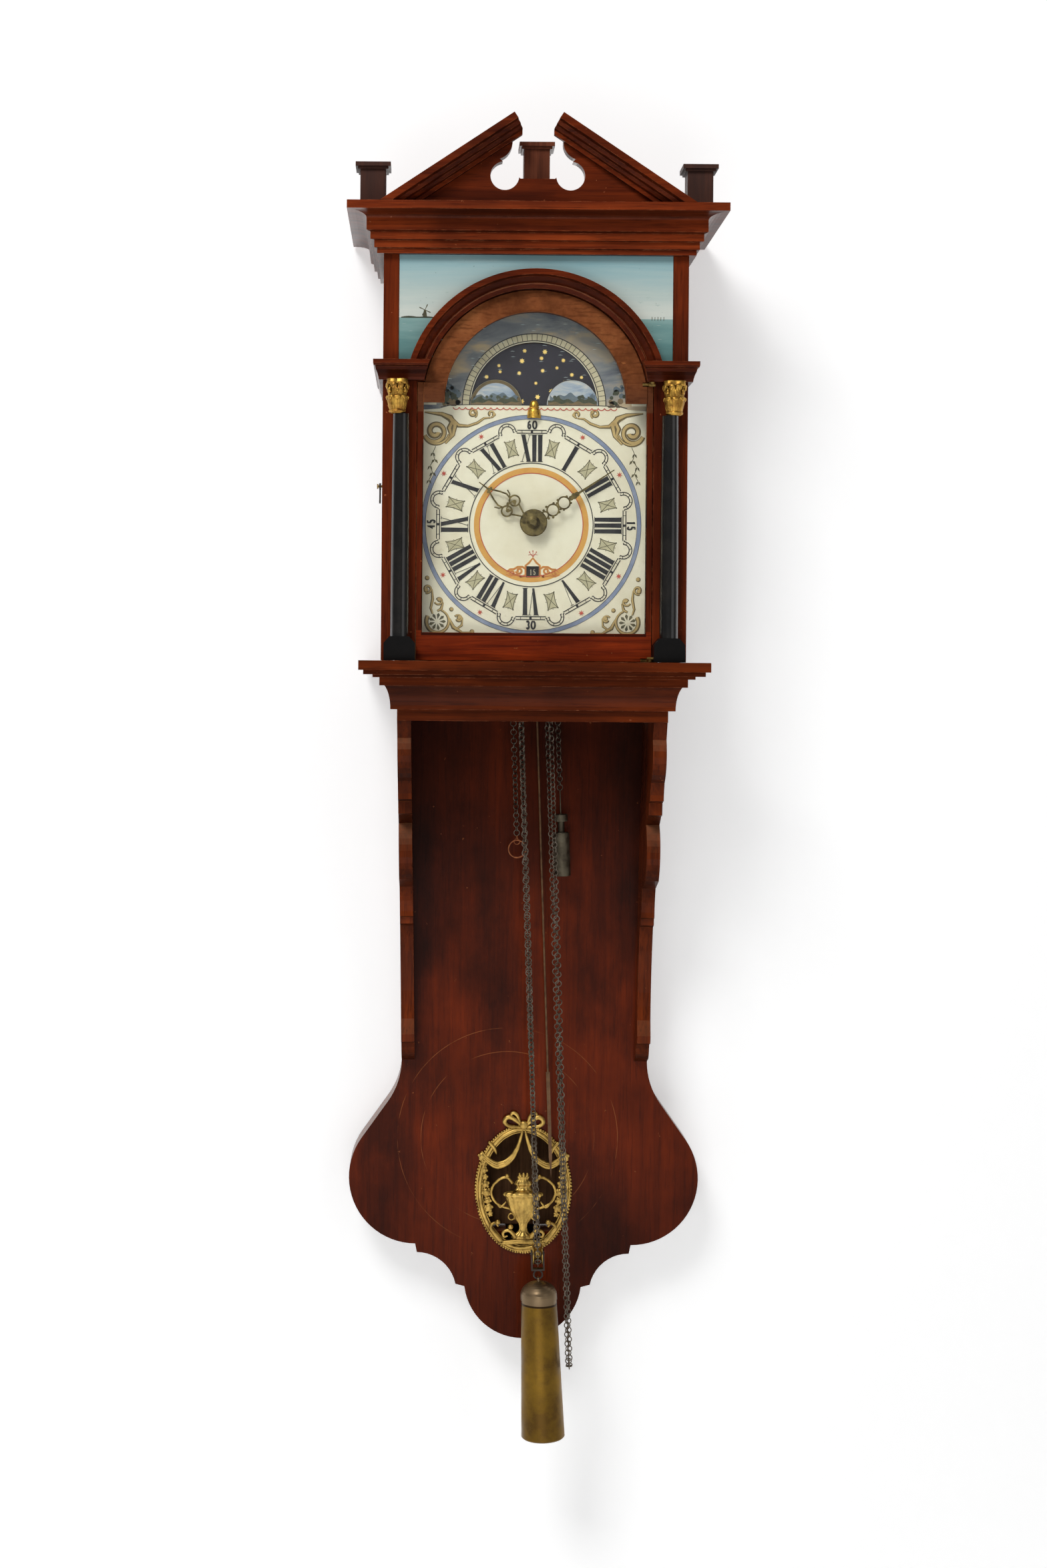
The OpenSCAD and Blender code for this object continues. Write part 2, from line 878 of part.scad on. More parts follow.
module side_door() {
    x0 = half_w - side_t;
    y0 = side_door_y0 + door_gap;
    y1 = side_pin_y();
    z0 = side_door_z0 + door_gap;
    z1 = side_door_z1 - door_gap;
    color(mahogany) placed()
        mirror([1, 0, 0])
            difference() {
                union() {
                    block([x0, y0, z0], [half_w, y1, z1]);
                    translate([x0 + side_t / 2, y1, z0])
                        cylinder(r = side_t / 2, h = z1 - z0);
                }
                block([x0 - eps, y0 + 18, z0 + 18], [half_w + eps, y1 - 14, z1 - 18]);
                block([x0 + side_t / 2 - glass_t / 2 - 0.2, y0 + 13, z0 + 13],
                    [x0 + side_t / 2 + glass_t / 2 + 0.2, y1 - 9, z1 - 13]);
                for (z = [z0 - eps, z1 - 8])
                    translate([x0 + side_t / 2, y1, z])
                        cylinder(r = pin_r + fit, h = 9);
            }
}

module side_glass() {
    x = -half_w + side_t / 2;
    color(pane_tint) placed()
        block([x - glass_t / 2, side_door_y0 + door_gap + 13.3, side_door_z0 + door_gap + 13.3],
            [x + glass_t / 2, side_pin_y() - 9.3, side_door_z1 - door_gap - 13.3]);
}

hook_y = side_y0 + 7;
hook_z = 184;
hook_len = 15;

// A wire hook that hangs from its pin beside the side door
module side_hook() {
    wire_r = 0.9;
    x = -half_w - 2.4;
    color(iron) placed() {
        translate([x, hook_y, hook_z])
            rotate([0, 90, 0])
                difference() {
                    cylinder(r = 3.4, h = 2, center = true);
                    cylinder(r = pin_r + fit, h = 3, center = true);
                }
        translate([x, hook_y, hook_z - hook_len])
            cylinder(r = wire_r, h = hook_len - 2.4);
        translate([x, hook_y - 2.5, hook_z - hook_len])
            rotate([0, 90, 0])
                rotate([0, 0, -90])
                    rotate_extrude(angle = 180)
                        translate([2.5, 0])
                            circle(wire_r);
    }
}

// Dial

module dial_outline() {
    difference() {
        union() {
            translate([-dial_w / 2, 14])
                square([dial_w, arch_z - 14 + 18]);
            translate([0, arch_z])
                circle(sight_r + 9);
        }
        difference() {
            translate([0, arch_z])
                circle(moon_r);
            translate([-200, 0])
                square([400, arch_z]);
            for (side = [-1, 1])
                translate([side * (moon_r - hump_r + 1), arch_z])
                    circle(hump_r);
        }
        translate([-6.5, dial_z - 57])
            square([13, 11]);
        translate([0, dial_z])
            circle(6);
    }
}

module dial_plate() {
    color(cream) placed() {
        upright(dial_y, dial_y + dial_t)
            dial_outline();
        for (a = [30, 150, 270])
            ring_stud(64 * cos(a), dial_z + 64 * sin(a));
        bar_y(0, arch_z - 6, 2.5, dial_y + dial_t - eps / 2, dial_y + dial_t + 3);
        bar_y(0, arch_z - 6, 5, dial_y + dial_t + 1.6, dial_y + dial_t + 3);
        for (x = [-post_x, post_x])
            for (z = [40, 200])
                bar_y(x, z, 2.5, dial_y + dial_t - eps / 2, movement_y0 + 1);
    }
}

// A headed stud that keeps the date ring against the dial
module ring_stud(x, z) {
    bar_y(x, z, 1.5, dial_y + dial_t - eps / 2, dial_y + dial_t + 5);
    bar_y(x, z, 3.5, dial_y + dial_t + 3.6, dial_y + dial_t + 5);
}

module moon_disc() {
    color(navy) placed()
        upright(dial_y + dial_t + 0.3, dial_y + dial_t + 1.3)
            difference() {
                translate([0, arch_z - 6])
                    circle(moon_r + 5);
                translate([0, arch_z - 6])
                    circle(2.5 + fit);
            }
}

module date_ring() {
    color(ebony) placed()
        upright(dial_y + dial_t + 2.4, dial_y + dial_t + 3.3)
            translate([0, dial_z])
                difference() {
                    circle(62.2);
                    circle(40);
                }
}

module moon_pointer() {
    color(gilt) placed()
        intersection() {
            translate([0, dial_y - seam, arch_z - 14])
                cylinder(r1 = 7, r2 = 5.5, h = 19);
            block([-8, dial_y - 9, arch_z - 15], [8, dial_y - seam, arch_z + 6]);
        }
}

// Hands: pierced plates on the hand arbors, drawn along +Z and turned to their time

module hand_plate(y, t, turn) {
    translate([0, 0, dial_z])
        rotate([0, turn, 0])
            upright(y, y + t)
                children();
}

hour_y = dial_y - 6;
minute_y = dial_y - 9.5;
hour_pipe_r = 5;
bow_w = 1.7;

module ring2d(x, z, r, w) {
    translate([x, z])
        difference() {
            circle(r);
            circle(r - w);
        }
}

// A band of one width along a list of points, for the wire-like scrolls of the hands
module ribbon(points, w) {
    last = len(points) - 1;
    normals = [for (i = [0 : last]) let(d = points[min(i + 1, last)] - points[max(i - 1, 0)])
        [-d.y, d.x] / norm(d) * w / 2];
    polygon(concat(
        [for (i = [0 : last]) points[i] - normals[i]],
        [for (i = [last : -1 : 0]) points[i] + normals[i]]
    ));
}

// One side of the hour hand, all lengths from the arbor
module hour_scroll(side) {
    function at(points) = [for (p = points) [side * p.x, p.y]];
    ribbon(at([[1.5, 7], [2.2, 15], [5.6, 22], [7.5, 25.4]]), bow_w);
    ring2d(side * 6.9, 30, 6.4, bow_w);
    ring2d(side * 3.7, 29.6, 3, 1.3);
    translate([side * 5.8, 29.5])
        circle(2.1);
    ribbon(at([[2, 33], [6.3, 36], [7.5, 41], [5.5, 48], [1.2, 58]]), bow_w);
    ribbon(at([[6.4, 36], [9.5, 38.5], [11.5, 43]]), 1.3);
    translate([side * 2.6, 58])
        circle(1.2);
}

module hour_hand() {
    color(old_brass) placed()
        hand_plate(hour_y, 1.2, hour_turn)
            difference() {
                union() {
                    circle(8.5);
                    hour_scroll(-1);
                    hour_scroll(1);
                    translate([-1.5, 32])
                        square([3, 3]);
                    polygon([[-2.6, 57], [2.6, 57], [0.9, 61], [0.45, hour_len], [-0.45, hour_len], [-0.9, 61]]);
                }
                circle(hour_pipe_r - 0.6);
            }
}

module minute_hand() {
    color(old_brass) placed()
        hand_plate(minute_y, 1.2, minute_turn)
            difference() {
                union() {
                    circle(8);
                    translate([-2, 6])
                        square([4, 5]);
                    ring2d(0, 14.5, 4.6, bow_w);
                    ring2d(0, 24.5, 7, bow_w);
                    ring2d(0, 38.5, 7.2, bow_w);
                    for (side = [-1, 1])
                        for (knob = [[5, 16], [6.6, 20.5], [5.6, 29], [3.6, 32], [6, 34.5], [4, 44.5]])
                            translate([side * knob.x, knob.y])
                                circle(1.3);
                    for (z = [47.5, 51.5, 55])
                        translate([0, z])
                            circle(z == 51.5 ? 3.3 : 2.6);
                    polygon([[-1.6, 45], [1.6, 45], [1.2, 58], [0.5, minute_len], [-0.5, minute_len], [-1.2, 58]]);
                }
                circle(arbor_r + fit);
            }
}

module hand_disc() {
    color(old_brass) placed()
        translate([0, minute_y - 0.3, dial_z])
            rotate([90, 0, 0])
                difference() {
                    union() {
                        cylinder(r1 = disc_r, r2 = disc_r - 1, h = 1.2);
                        translate([0, 0, 1.2])
                            cylinder(r1 = 7, r2 = 4, h = 2.6);
                        translate([0, 0, 3.8])
                            rotate([0, 0, 20])
                                cylinder(r = 3.6, h = 2.2, $fn = 4);
                    }
                    translate([0, 0, -eps])
                        cylinder(r = arbor_r + fit, h = 4.5 + eps);
                }
}

// Movement

movement_y0 = -142;
movement_y1 = -74;
bar_t = 2.5;
mid_bar_y = -106;
// Front and rear trains end on either side of this plane, in the same holes of the middle bar
function mid_split() = mid_bar_y + bar_t / 2;
arbor_r = 2;
plate_z0 = seat_t;
going_y = -133;
strike_y = -101;
going_chain_y = -121.5;
strike_chain_y = -89.5;
third_x = 22;
third_z = dial_z + 23.8;
escape_z = third_z + 12.3;

// A wheel outline with straight-sided teeth of a given tooth count and pitch radius
function gear_points(n, r) = let(m = 2 * r / n)
    [for (i = [0 : n - 1]) for (p = [[-0.30, -1.15], [-0.20, 0], [-0.09, 0.8], [0.09, 0.8], [0.20, 0],
        [0.30, -1.15]]) let(a = (i + p.x) * 360 / n) (r + p.y * m) * [cos(a), sin(a)]];

// Turn of the second wheel that puts its gap against a tooth of the first
function mesh_turn(n1, turn1, dir, n2) = dir + 180 - (0.5 - (dir - turn1) * n1 / 360) * 360 / n2;

// A wheel with crossed arms, in the plane of its outline
module spoked_gear(n, r, turn, arms) {
    m = 2 * r / n;
    rim = r - 1.15 * m - 3;
    difference() {
        rotate(turn)
            polygon(gear_points(n, r));
        difference() {
            circle(rim);
            circle(0.24 * r + 2);
            for (i = [0 : arms - 1])
                rotate(i * 360 / arms)
                    translate([0, -1.8])
                        square([r, 3.6]);
        }
    }
}

module wheel_at(x, z, y, t) {
    translate([x, 0, z])
        upright(y, y + t)
            children();
}

// The pairs of the going train
great_n = 72;
centre_pn = 12;
centre_n = 64;
third_pn = 8;
third_n = 56;
escape_pn = 7;
escape_n = 32;
going_dist = dial_z - great_z;
third_dist = norm([third_x, third_z - dial_z]);
third_dir = atan2(third_z - dial_z, third_x);
escape_dist = norm([third_x, escape_z - third_z]);
escape_dir = atan2(escape_z - third_z, -third_x);
function first_r(n1, n2, dist) = dist * n1 / (n1 + n2);
centre_turn = mesh_turn(great_n, 0, 90, centre_pn);
third_turn = mesh_turn(centre_n, 0, third_dir, third_pn);
escape_turn = mesh_turn(third_n, 0, escape_dir, escape_pn);
escape_r = 17;

// The motion work behind the dial
cannon_n = 12;
motion_n = 48;
motion_pn = 12;
hour_n = 36;
motion_dist = 24;
motion_x = -17;
motion_z = dial_z - sqrt(motion_dist * motion_dist - motion_x * motion_x);
motion_dir = atan2(motion_z - dial_z, motion_x);
motion_turn = mesh_turn(cannon_n, 0, motion_dir, motion_n);
hour_gear_turn = mesh_turn(motion_pn, 0, motion_dir + 180, hour_n);
motion_y = -147.3;
hour_gear_y = -150;

// A grooved wheel that the chain runs over, its links alternately flat and upright
module chain_drum(y, r) {
    floor_r = r - link_r - wire_d / 2 - 0.4;
    half = link_r + wire_d / 2 + 0.45;
    translate([0, y, great_z])
        rotate([90, 0, 0])
            rotate_extrude()
                polygon([[0, -half - 1.4], [r + 3.6, -half - 1.4], [r + 3.6, -half - 0.5], [r - 1.2, -half],
                    [floor_r, -1.6], [floor_r, 1.6], [r - 1.2, half], [r + 3.6, half + 0.5],
                    [r + 3.6, half + 1.4], [0, half + 1.4]]);
}

module great_wheel() {
    color(old_brass) placed() {
        wheel_at(0, great_z, going_y, 2.5)
            spoked_gear(great_n, first_r(great_n, centre_pn, going_dist), 0, 4);
        chain_drum(going_chain_y, going_drum_r);
        bar_y(0, great_z, 3, going_y, going_chain_y + 7);
        bar_y(0, great_z, arbor_r, movement_y0 - 0.5, mid_split() - seam);
    }
}

module centre_wheel() {
    color(old_brass) placed() {
        wheel_at(0, dial_z, going_y - 1, 5)
            rotate(centre_turn)
                polygon(gear_points(centre_pn, first_r(centre_pn, great_n, going_dist)));
        wheel_at(0, dial_z, -120, 2)
            spoked_gear(centre_n, first_r(centre_n, third_pn, third_dist), 0, 4);
        wheel_at(0, dial_z, motion_y, 2.5)
            polygon(gear_points(cannon_n, first_r(cannon_n, motion_n, motion_dist)));
        bar_y(0, dial_z, arbor_r, minute_y - 4, mid_split() - seam);
        bar_y(0, dial_z, 3.2, going_y - 1, -117);
    }
}

module third_wheel() {
    color(old_brass) placed() {
        wheel_at(third_x, third_z, -121.5, 5)
            rotate(third_turn)
                polygon(gear_points(third_pn, first_r(third_pn, centre_n, third_dist)));
        wheel_at(third_x, third_z, -112.5, 1.8)
            spoked_gear(third_n, first_r(third_n, escape_pn, escape_dist), 0, 4);
        bar_y(third_x, third_z, 1.5, movement_y0 - 0.5, mid_split() - seam);
    }
}

module escape_wheel() {
    color(old_brass) placed() {
        wheel_at(0, escape_z, -114, 4.5)
            rotate(escape_turn)
                polygon(gear_points(escape_pn, first_r(escape_pn, third_n, escape_dist)));
        wheel_at(0, escape_z, -128, 1.6)
            difference() {
                polygon([for (i = [0 : escape_n - 1]) for (p = [[0, -4], [0.12, 0], [0.34, -3.4]])
                    let(a = (i + p.x) * 360 / escape_n) (escape_r + p.y) * [cos(a), sin(a)]]);
                difference() {
                    circle(escape_r - 6.5);
                    circle(4.5);
                    for (i = [0 : 3])
                        rotate(i * 90)
                            translate([0, -1.3])
                                square([escape_r, 2.6]);
                }
            }
        bar_y(0, escape_z, 1.5, movement_y0 - 0.5, mid_bar_y + bar_t + 0.5);
    }
}

module motion_wheel() {
    color(old_brass) placed() {
        wheel_at(motion_x, motion_z, motion_y, 1.8)
            rotate(motion_turn)
                difference() {
                    polygon(gear_points(motion_n, first_r(motion_n, cannon_n, motion_dist)));
                    circle(1.5 + fit);
                }
        wheel_at(motion_x, motion_z, hour_gear_y - 0.2, 3.2)
            difference() {
                polygon(gear_points(motion_pn, first_r(motion_pn, hour_n, motion_dist)));
                circle(1.5 + fit);
            }
    }
}

module hour_wheel() {
    color(old_brass) placed() {
        wheel_at(0, dial_z, hour_gear_y, 1.6)
            rotate(hour_gear_turn)
                difference() {
                    polygon(gear_points(hour_n, first_r(hour_n, motion_pn, motion_dist)));
                    circle(arbor_r + 0.8);
                }
        difference() {
            bar_y(0, dial_z, hour_pipe_r - 0.7, hour_y - 0.5, hour_gear_y + 1.6);
            bar_y(0, dial_z, arbor_r + fit, hour_y - 2, hour_gear_y + 3);
        }
    }
}

// Iron frame of four pillars, two plates and three uprights that hold the arbors
module movement_frame() {
    color(iron) placed()
        difference() {
            union() {
                frame_plate(plate_z0);
                difference() {
                    frame_plate(top_plate_z);
                    block([hammer_x + 5, bell_y - 2.4, top_plate_z - eps],
                        [post_x + 8 + eps, bell_y + 2.4, top_plate_z + 3 + eps]);
                }
                for (x = [-post_x, post_x])
                    for (y = [movement_y0 + 4, movement_y1 - 4])
                        translate([x, y, plate_z0 + 3 - eps])
                            pillar(top_plate_z - plate_z0 - 3 + 2 * eps);
                for (y = [movement_y0, mid_bar_y, movement_y1 - bar_t])
                    upright(y, y + bar_t)
                        bar_outline();
                upright(movement_y0, movement_y0 + bar_t)
                    translate([motion_x - 4, motion_z - 4])
                        square([-motion_x, 8]);
                bar_y(motion_x, motion_z, 1.5, hour_gear_y - 0.5, movement_y0 + eps);
                bar_y(0, hang_pivot_z, 2.2, movement_y1 - eps, rod_y + 2);
                bar_y(alarm_x, alarm_z, 1.5, movement_y1 - eps, alarm_y + 5);
                translate([0, bell_y, top_plate_z])
                    cylinder(r = 3, h = 40);
            }
            for (y = [movement_y0, mid_bar_y]) {
                bar_y(0, great_z, arbor_r + fit, y - eps, y + bar_t + eps);
                bar_y(0, dial_z, arbor_r + fit, y - eps, y + bar_t + eps);
                bar_y(third_x, third_z, 1.5 + fit, y - eps, y + bar_t + eps);
                bar_y(0, escape_z, 1.5 + fit, y - eps, y + bar_t + eps);
            }
            for (y = [mid_bar_y, movement_y1 - bar_t])
                bar_y(0, anchor_z, 1.5 + fit, y - eps, y + bar_t + eps);
            rear = movement_y1 - bar_t;
            bar_y(0, great_z, arbor_r + fit, rear - eps, movement_y1 + eps);
            bar_y(0, dial_z, arbor_r + fit, rear - eps, movement_y1 + eps);
            bar_y(third_x, third_z, 1.5 + fit, rear - eps, movement_y1 + eps);
            for (y = [movement_y0, mid_bar_y, rear])
                bar_y(hammer_x, hammer_z, 1.5 + fit, y - eps, y + bar_t + eps);
        }
}

module frame_plate(z) {
    difference() {
        block([-post_x - 8, movement_y0 - 4, z], [post_x + 8, movement_y1 + 4, z + 3]);
        block([-30, movement_y0 + 6, z - eps], [36, mid_bar_y - 4, z + 3 + eps]);
        block([-30, mid_bar_y + bar_t + 4, z - eps], [36, movement_y1 - 8, z + 3 + eps]);
    }
}

module bar_outline() {
    translate([-7, plate_z0 + eps])
        square([14, top_plate_z - plate_z0]);
    translate([-fly_x, third_z - 6])
        square([2 * fly_x, 12]);
    for (side = [-1, 1])
        translate([side * fly_x, third_z])
            circle(6);
    translate([7, hammer_z - 5])
        square([hammer_x - 7, 10]);
    translate([hammer_x, hammer_z])
        circle(5);
}

// A turned pillar
module pillar(h) {
    rotate_extrude()
        polygon([[0, 0], [6, 0], [6, 4], [4, 7], [3, 12], [3, 0.4 * h], [5, 0.5 * h - 4], [5.6, 0.5 * h],
            [5, 0.5 * h + 4], [3, 0.6 * h], [3, h - 12], [4, h - 7], [6, h - 4], [6, h], [0, h]]);
}

fly_x = 22;
hammer_x = 38;
hammer_z = 200;
bell_y = -100;
bell_z = 240;

module bell() {
    color(old_brass) placed()
        translate([0, bell_y, bell_z])
            difference() {
                rotate_extrude()
                    polygon(concat(
                        [[3 + fit, 24.5], [3 + fit, 27]],
                        [for (a = [80 : -10 : 10]) [bell_r * cos(a), 27 * sin(a)]],
                        [[bell_r + 1.5, 0], [bell_r - 2, 0]],
                        [for (a = [10 : 10 : 80]) [(bell_r - 2.5) * cos(a), 24.5 * sin(a)]]
                    ));
            }
}

module hammer() {
    head_x = bell_r + 1.5 + 1.6;
    color(iron) placed() {
        bar_y(hammer_x, hammer_z, 1.5, movement_y0 - 0.5, movement_y1 + 0.5);
        bar_y(hammer_x, hammer_z, 3.4, bell_y - 3, bell_y + 3);
        translate([hammer_x, bell_y, hammer_z])
            rotate([0, atan((head_x + 6 - hammer_x) / (bell_z - hammer_z)), 0])
                cylinder(r = 1.4, h = norm([head_x + 6 - hammer_x, bell_z + 3 - hammer_z]));
        translate([head_x, bell_y, bell_z + 3])
            rotate([0, 90, 0])
                cylinder(r = 5, h = 12);
        wheel_at(hammer_x, hammer_z, -87.5, 2)
            polygon([[-3, 0], [3, 0], [-2, -36], [-5, -36]]);
    }
}

module strike_great_wheel() {
    color(old_brass) placed() {
        wheel_at(0, great_z, strike_y, 2.5)
            spoked_gear(great_n, first_r(great_n, centre_pn, going_dist), 0, 4);
        chain_drum(strike_chain_y, strike_drum_r);
        bar_y(0, great_z, 3, strike_y, strike_chain_y + 6.5);
        bar_y(0, great_z, arbor_r, mid_split() + seam, movement_y1 + 0.5);
    }
}

fly_pn = 8;
fly_turn = mesh_turn(centre_n, 0, third_dir, fly_pn);

module strike_pin_wheel() {
    color(old_brass) placed() {
        wheel_at(0, dial_z, strike_y - 1, 5)
            rotate(centre_turn)
                polygon(gear_points(centre_pn, first_r(centre_pn, great_n, going_dist)));
        wheel_at(0, dial_z, -90, 2)
            spoked_gear(centre_n, first_r(centre_n, fly_pn, third_dist), 0, 4);
        for (i = [0 : 7])
            bar_y(24 * cos(i * 45), dial_z + 24 * sin(i * 45), 1, -88.5, -85);
        bar_y(0, dial_z, 3, strike_y - 1, -87);
        bar_y(0, dial_z, arbor_r, mid_split() + seam, movement_y1 + 0.5);
    }
}

module strike_fly() {
    color(old_brass) placed() {
        wheel_at(fly_x, third_z, -91.5, 5)
            rotate(fly_turn)
                polygon(gear_points(fly_pn, first_r(fly_pn, centre_n, third_dist)));
        upright(-84.5, -77.5)
            translate([fly_x, third_z])
                rotate(35)
                    translate([-13, -0.6])
                        square([26, 1.2]);
        bar_y(fly_x, third_z, 2.2, -85, -77.2);
        bar_y(fly_x, third_z, 1.5, mid_split() + seam, movement_y1 + 0.5);
    }
}

// The pendulum and its anchor hang along the plumb line

module hung_from(x, y, z) {
    translate([x, y, z])
        rotate([0, -hang_lean, 0])
            children();
}

rod_y = -56;
crutch_l = 68;

module anchor() {
    reach = anchor_z - escape_z;
    color(iron) placed() {
        difference() {
            hung_from(0, 0, anchor_z)
                wheel_at(0, 0, -129.5, 4.6) {
                    circle(4);
                    for (side = [-1, 1])
                        polygon([[0, 3.4], [side * 20.5, 12 - reach], [side * 17, 7 - reach],
                            [side * 13, 14.5 - reach], [0, -3.4]]);
                }
            bar_y(0, escape_z, escape_r + 1.2, -131, -123);
        }
        bar_y(0, anchor_z, 1.5, -130, movement_y1 + 3);
        hung_from(0, 0, anchor_z) {
            bar_y(0, 0, 3.4, movement_y1 + 0.8, movement_y1 + 4);
            block([-1.5, movement_y1 + 1, -crutch_l - 2], [1.5, movement_y1 + 2.5, 0]);
            block([-4.2, movement_y1 + 1, -crutch_l - 3], [4.2, movement_y1 + 2.5, -crutch_l + 3]);
            for (side = [-1, 1])
                bar_y(side * 3.2, -crutch_l, 1, movement_y1 + 1, rod_y + 4);
        }
    }
}

module pendulum() {
    blade = 117;
    color(iron) placed()
        hung_from(0, rod_y, hang_pivot_z) {
            translate([0, 0, -pendulum_l + blade - 2])
                cylinder(r = 1.2, h = pendulum_l - blade - 2);
            difference() {
                bar_y(0, 0, 5, -0.8, 0.8);
                bar_y(0, 0, 2.2 + fit, -2, 2);
            }
            upright(-0.8, 0.8)
                polygon([[-2.1, -pendulum_l + blade], [2.1, -pendulum_l + blade], [1.8, -pendulum_l + 22],
                    [0, -pendulum_l], [-1.8, -pendulum_l + 22]]);
        }
}

// Chains

link_pitch = 2 * link_r - wire_d - 0.1;
lean_dx = tan(hang_lean);
plumb_y = (going_chain_y + strike_chain_y) / 2;
slack_r = 9;
weight_x = -(going_drum_r + strike_drum_r) / 2 + (great_z + pulley_z) * lean_dx;
slack_x = (going_drum_r + strike_drum_r) / 2 + (great_z + loop_z) * lean_dx;

// One link, standing in the XZ plane
module link(r) {
    rotate([90, 0, 0])
        rotate_extrude($fn = 24)
            translate([r, 0])
                circle(wire_d / 2, $fn = 16);
}

function even(x) = 2 * ceil(x / 2);
function odd(x) = 2 * ceil((x - 1) / 2) + 1;

// A straight run of links from point a to point b, each turned a quarter from the last,
// with half a turn of twist over the whole run
module chain_run(a, b) {
    d = b - a;
    length = norm(d);
    heading = atan2(d.y, d.x);
    n = even(length / link_pitch);
    for (i = [0 : n - 1])
        translate(a + d * (i + 0.5) / n)
            rotate([0, acos(d.z / length), heading])
                rotate([0, 0, 90 + heading + i * 90 + 180 * i / n])
                    link(link_r);
}

// Half a turn of links round the top or the bottom of a wheel in the XZ plane
module chain_turn(r, up) {
    n = odd(PI * r / link_pitch);
    for (i = [0 : n - 1])
        rotate([0, -180 * (i + 0.5) / n * up, 0])
            translate([r, 0, 0])
                rotate([0, 0, (i % 2) * 90])
                    link(link_r);
}

// The two strands from a pair of chain wheels down to a half turn in the YZ plane
module strand_pair(side, x, z, r) {
    chain_run([side * going_drum_r, going_chain_y, great_z], [x, plumb_y - r, z]);
    chain_run([side * strike_drum_r, strike_chain_y, great_z], [x, plumb_y + r, z]);
    hung_from(x, plumb_y, z)
        rotate([0, 0, 90])
            chain_turn(r, -1);
}

module weight_chain() {
    color(iron) placed()
        strand_pair(-1, weight_x, -pulley_z, pulley_r);
}

module slack_chain() {
    color(iron) placed() {
        strand_pair(1, slack_x, slack_r - loop_z, slack_r);
        translate([0, going_chain_y, great_z])
            chain_turn(going_drum_r, 1);
        translate([0, strike_chain_y, great_z])
            chain_turn(strike_drum_r, 1);
    }
}

module weight_pulley() {
    color(old_brass) placed()
        hung_from(weight_x, plumb_y, -pulley_z)
            rotate([0, 90, 0])
                rotate_extrude()
                    polygon([[1.5 + fit, -5.2], [pulley_r + 1, -5.2], [pulley_r + 1, -4.6], [pulley_r - 4.1, -1.6],
                        [pulley_r - 4.1, 1.6], [pulley_r + 1, 4.6], [pulley_r + 1, 5.2], [1.5 + fit, 5.2]]);
}

// The stirrup and the weight, from the pulley's axis down
stirrup_half = 7.2;
stirrup_z = 17.5;
ring_wire_r = 0.9;
ring_r = 4.6;
ring_z = stirrup_z + ring_r + 0.2;
weight_ring_r = 3.4;
cap_h = 20;
weight_top = 29;

module ring(r) {
    rotate([90, 0, 0])
        rotate_extrude()
            translate([r, 0])
                circle(ring_wire_r);
}

module weight_stirrup() {
    color(iron) placed()
        hung_from(weight_x, plumb_y, -pulley_z) {
            for (side = [-1, 1])
                translate([side * (stirrup_half - 0.8) - 0.8, -4, -stirrup_z])
                    cube([1.6, 8, stirrup_z + 4]);
            translate([-stirrup_half, -4, -stirrup_z])
                cube([2 * stirrup_half, 8, 1.8]);
            translate([-stirrup_half - 0.6, 0, 0])
                rotate([0, 90, 0])
                    cylinder(r = 1.5, h = 2 * stirrup_half + 1.2);
            translate([0, 0, -ring_z])
                ring(ring_r);
        }
}

module main_weight() {
    cap_r = 19.8;
    top_r = 19.2;
    color(old_brass) placed()
        hung_from(weight_x, plumb_y, -pulley_z) {
            translate([0, 0, -weight_top - cap_h - weight_h])
                rotate_extrude()
                    polygon(concat(
                        [[0, 0], [weight_r - 1.5, 0], [weight_r, 1.5], [top_r, weight_h - 0.6], [top_r, weight_h],
                            [cap_r, weight_h]],
                        [for (a = [0 : 10 : 80]) [cap_r * cos(a), weight_h + 5 + (cap_h - 5) * sin(a)]],
                        [[0, weight_h + cap_h]]
                    ));
            translate([0, 0, -ring_z - ring_r - weight_ring_r + 2 * ring_wire_r + 0.1])
                rotate([0, 0, 90])
                    ring(weight_ring_r);
        }
}

alarm_x = 3.7;
alarm_z = 60;
alarm_y = -66;
copper = [0.55, 0.30, 0.18];

function alarm_line(side, z) = alarm_x + side * alarm_r + (alarm_z - z) * lean_dx;

module alarm_wheel() {
    floor_r = alarm_r - link_r - wire_d / 2 - 0.4;
    step_r = alarm_r - wire_d / 2 - 0.4;
    half = link_r + wire_d / 2 + 0.45;
    color(old_brass) placed()
        translate([alarm_x, alarm_y, alarm_z])
            rotate([90, 0, 0])
                rotate_extrude()
                    polygon([[1.5 + fit, -half - 1], [alarm_r + 2.5, -half - 1], [alarm_r + 2.5, -half],
                        [step_r, -half], [step_r, -1.6], [floor_r, -1.6], [floor_r, 1.6], [step_r, 1.6],
                        [step_r, half], [alarm_r + 2.5, half], [alarm_r + 2.5, half + 1], [1.5 + fit, half + 1]]);
}

module alarm_strand(side, z) {
    chain_run([alarm_x + side * alarm_r, alarm_y, alarm_z], [alarm_line(side, z), alarm_y, z]);
}

// The alarm's chain over its wheel and down to its weight
module alarm_chain() {
    color(iron) placed() {
        translate([alarm_x, alarm_y, alarm_z])
            chain_turn(alarm_r, 1);
        alarm_strand(1, -alarm_end_z);
    }
}

// The chain's other strand, with the copper ring that it is pulled by
module pull_chain() {
    r = 9.5;
    z = -alarm_tail_z - r + link_pitch - 1.2;
    color(copper) placed() {
        alarm_strand(-1, -alarm_tail_z);
        translate([alarm_line(-1, z), alarm_y, z])
            ring(r);
    }
}

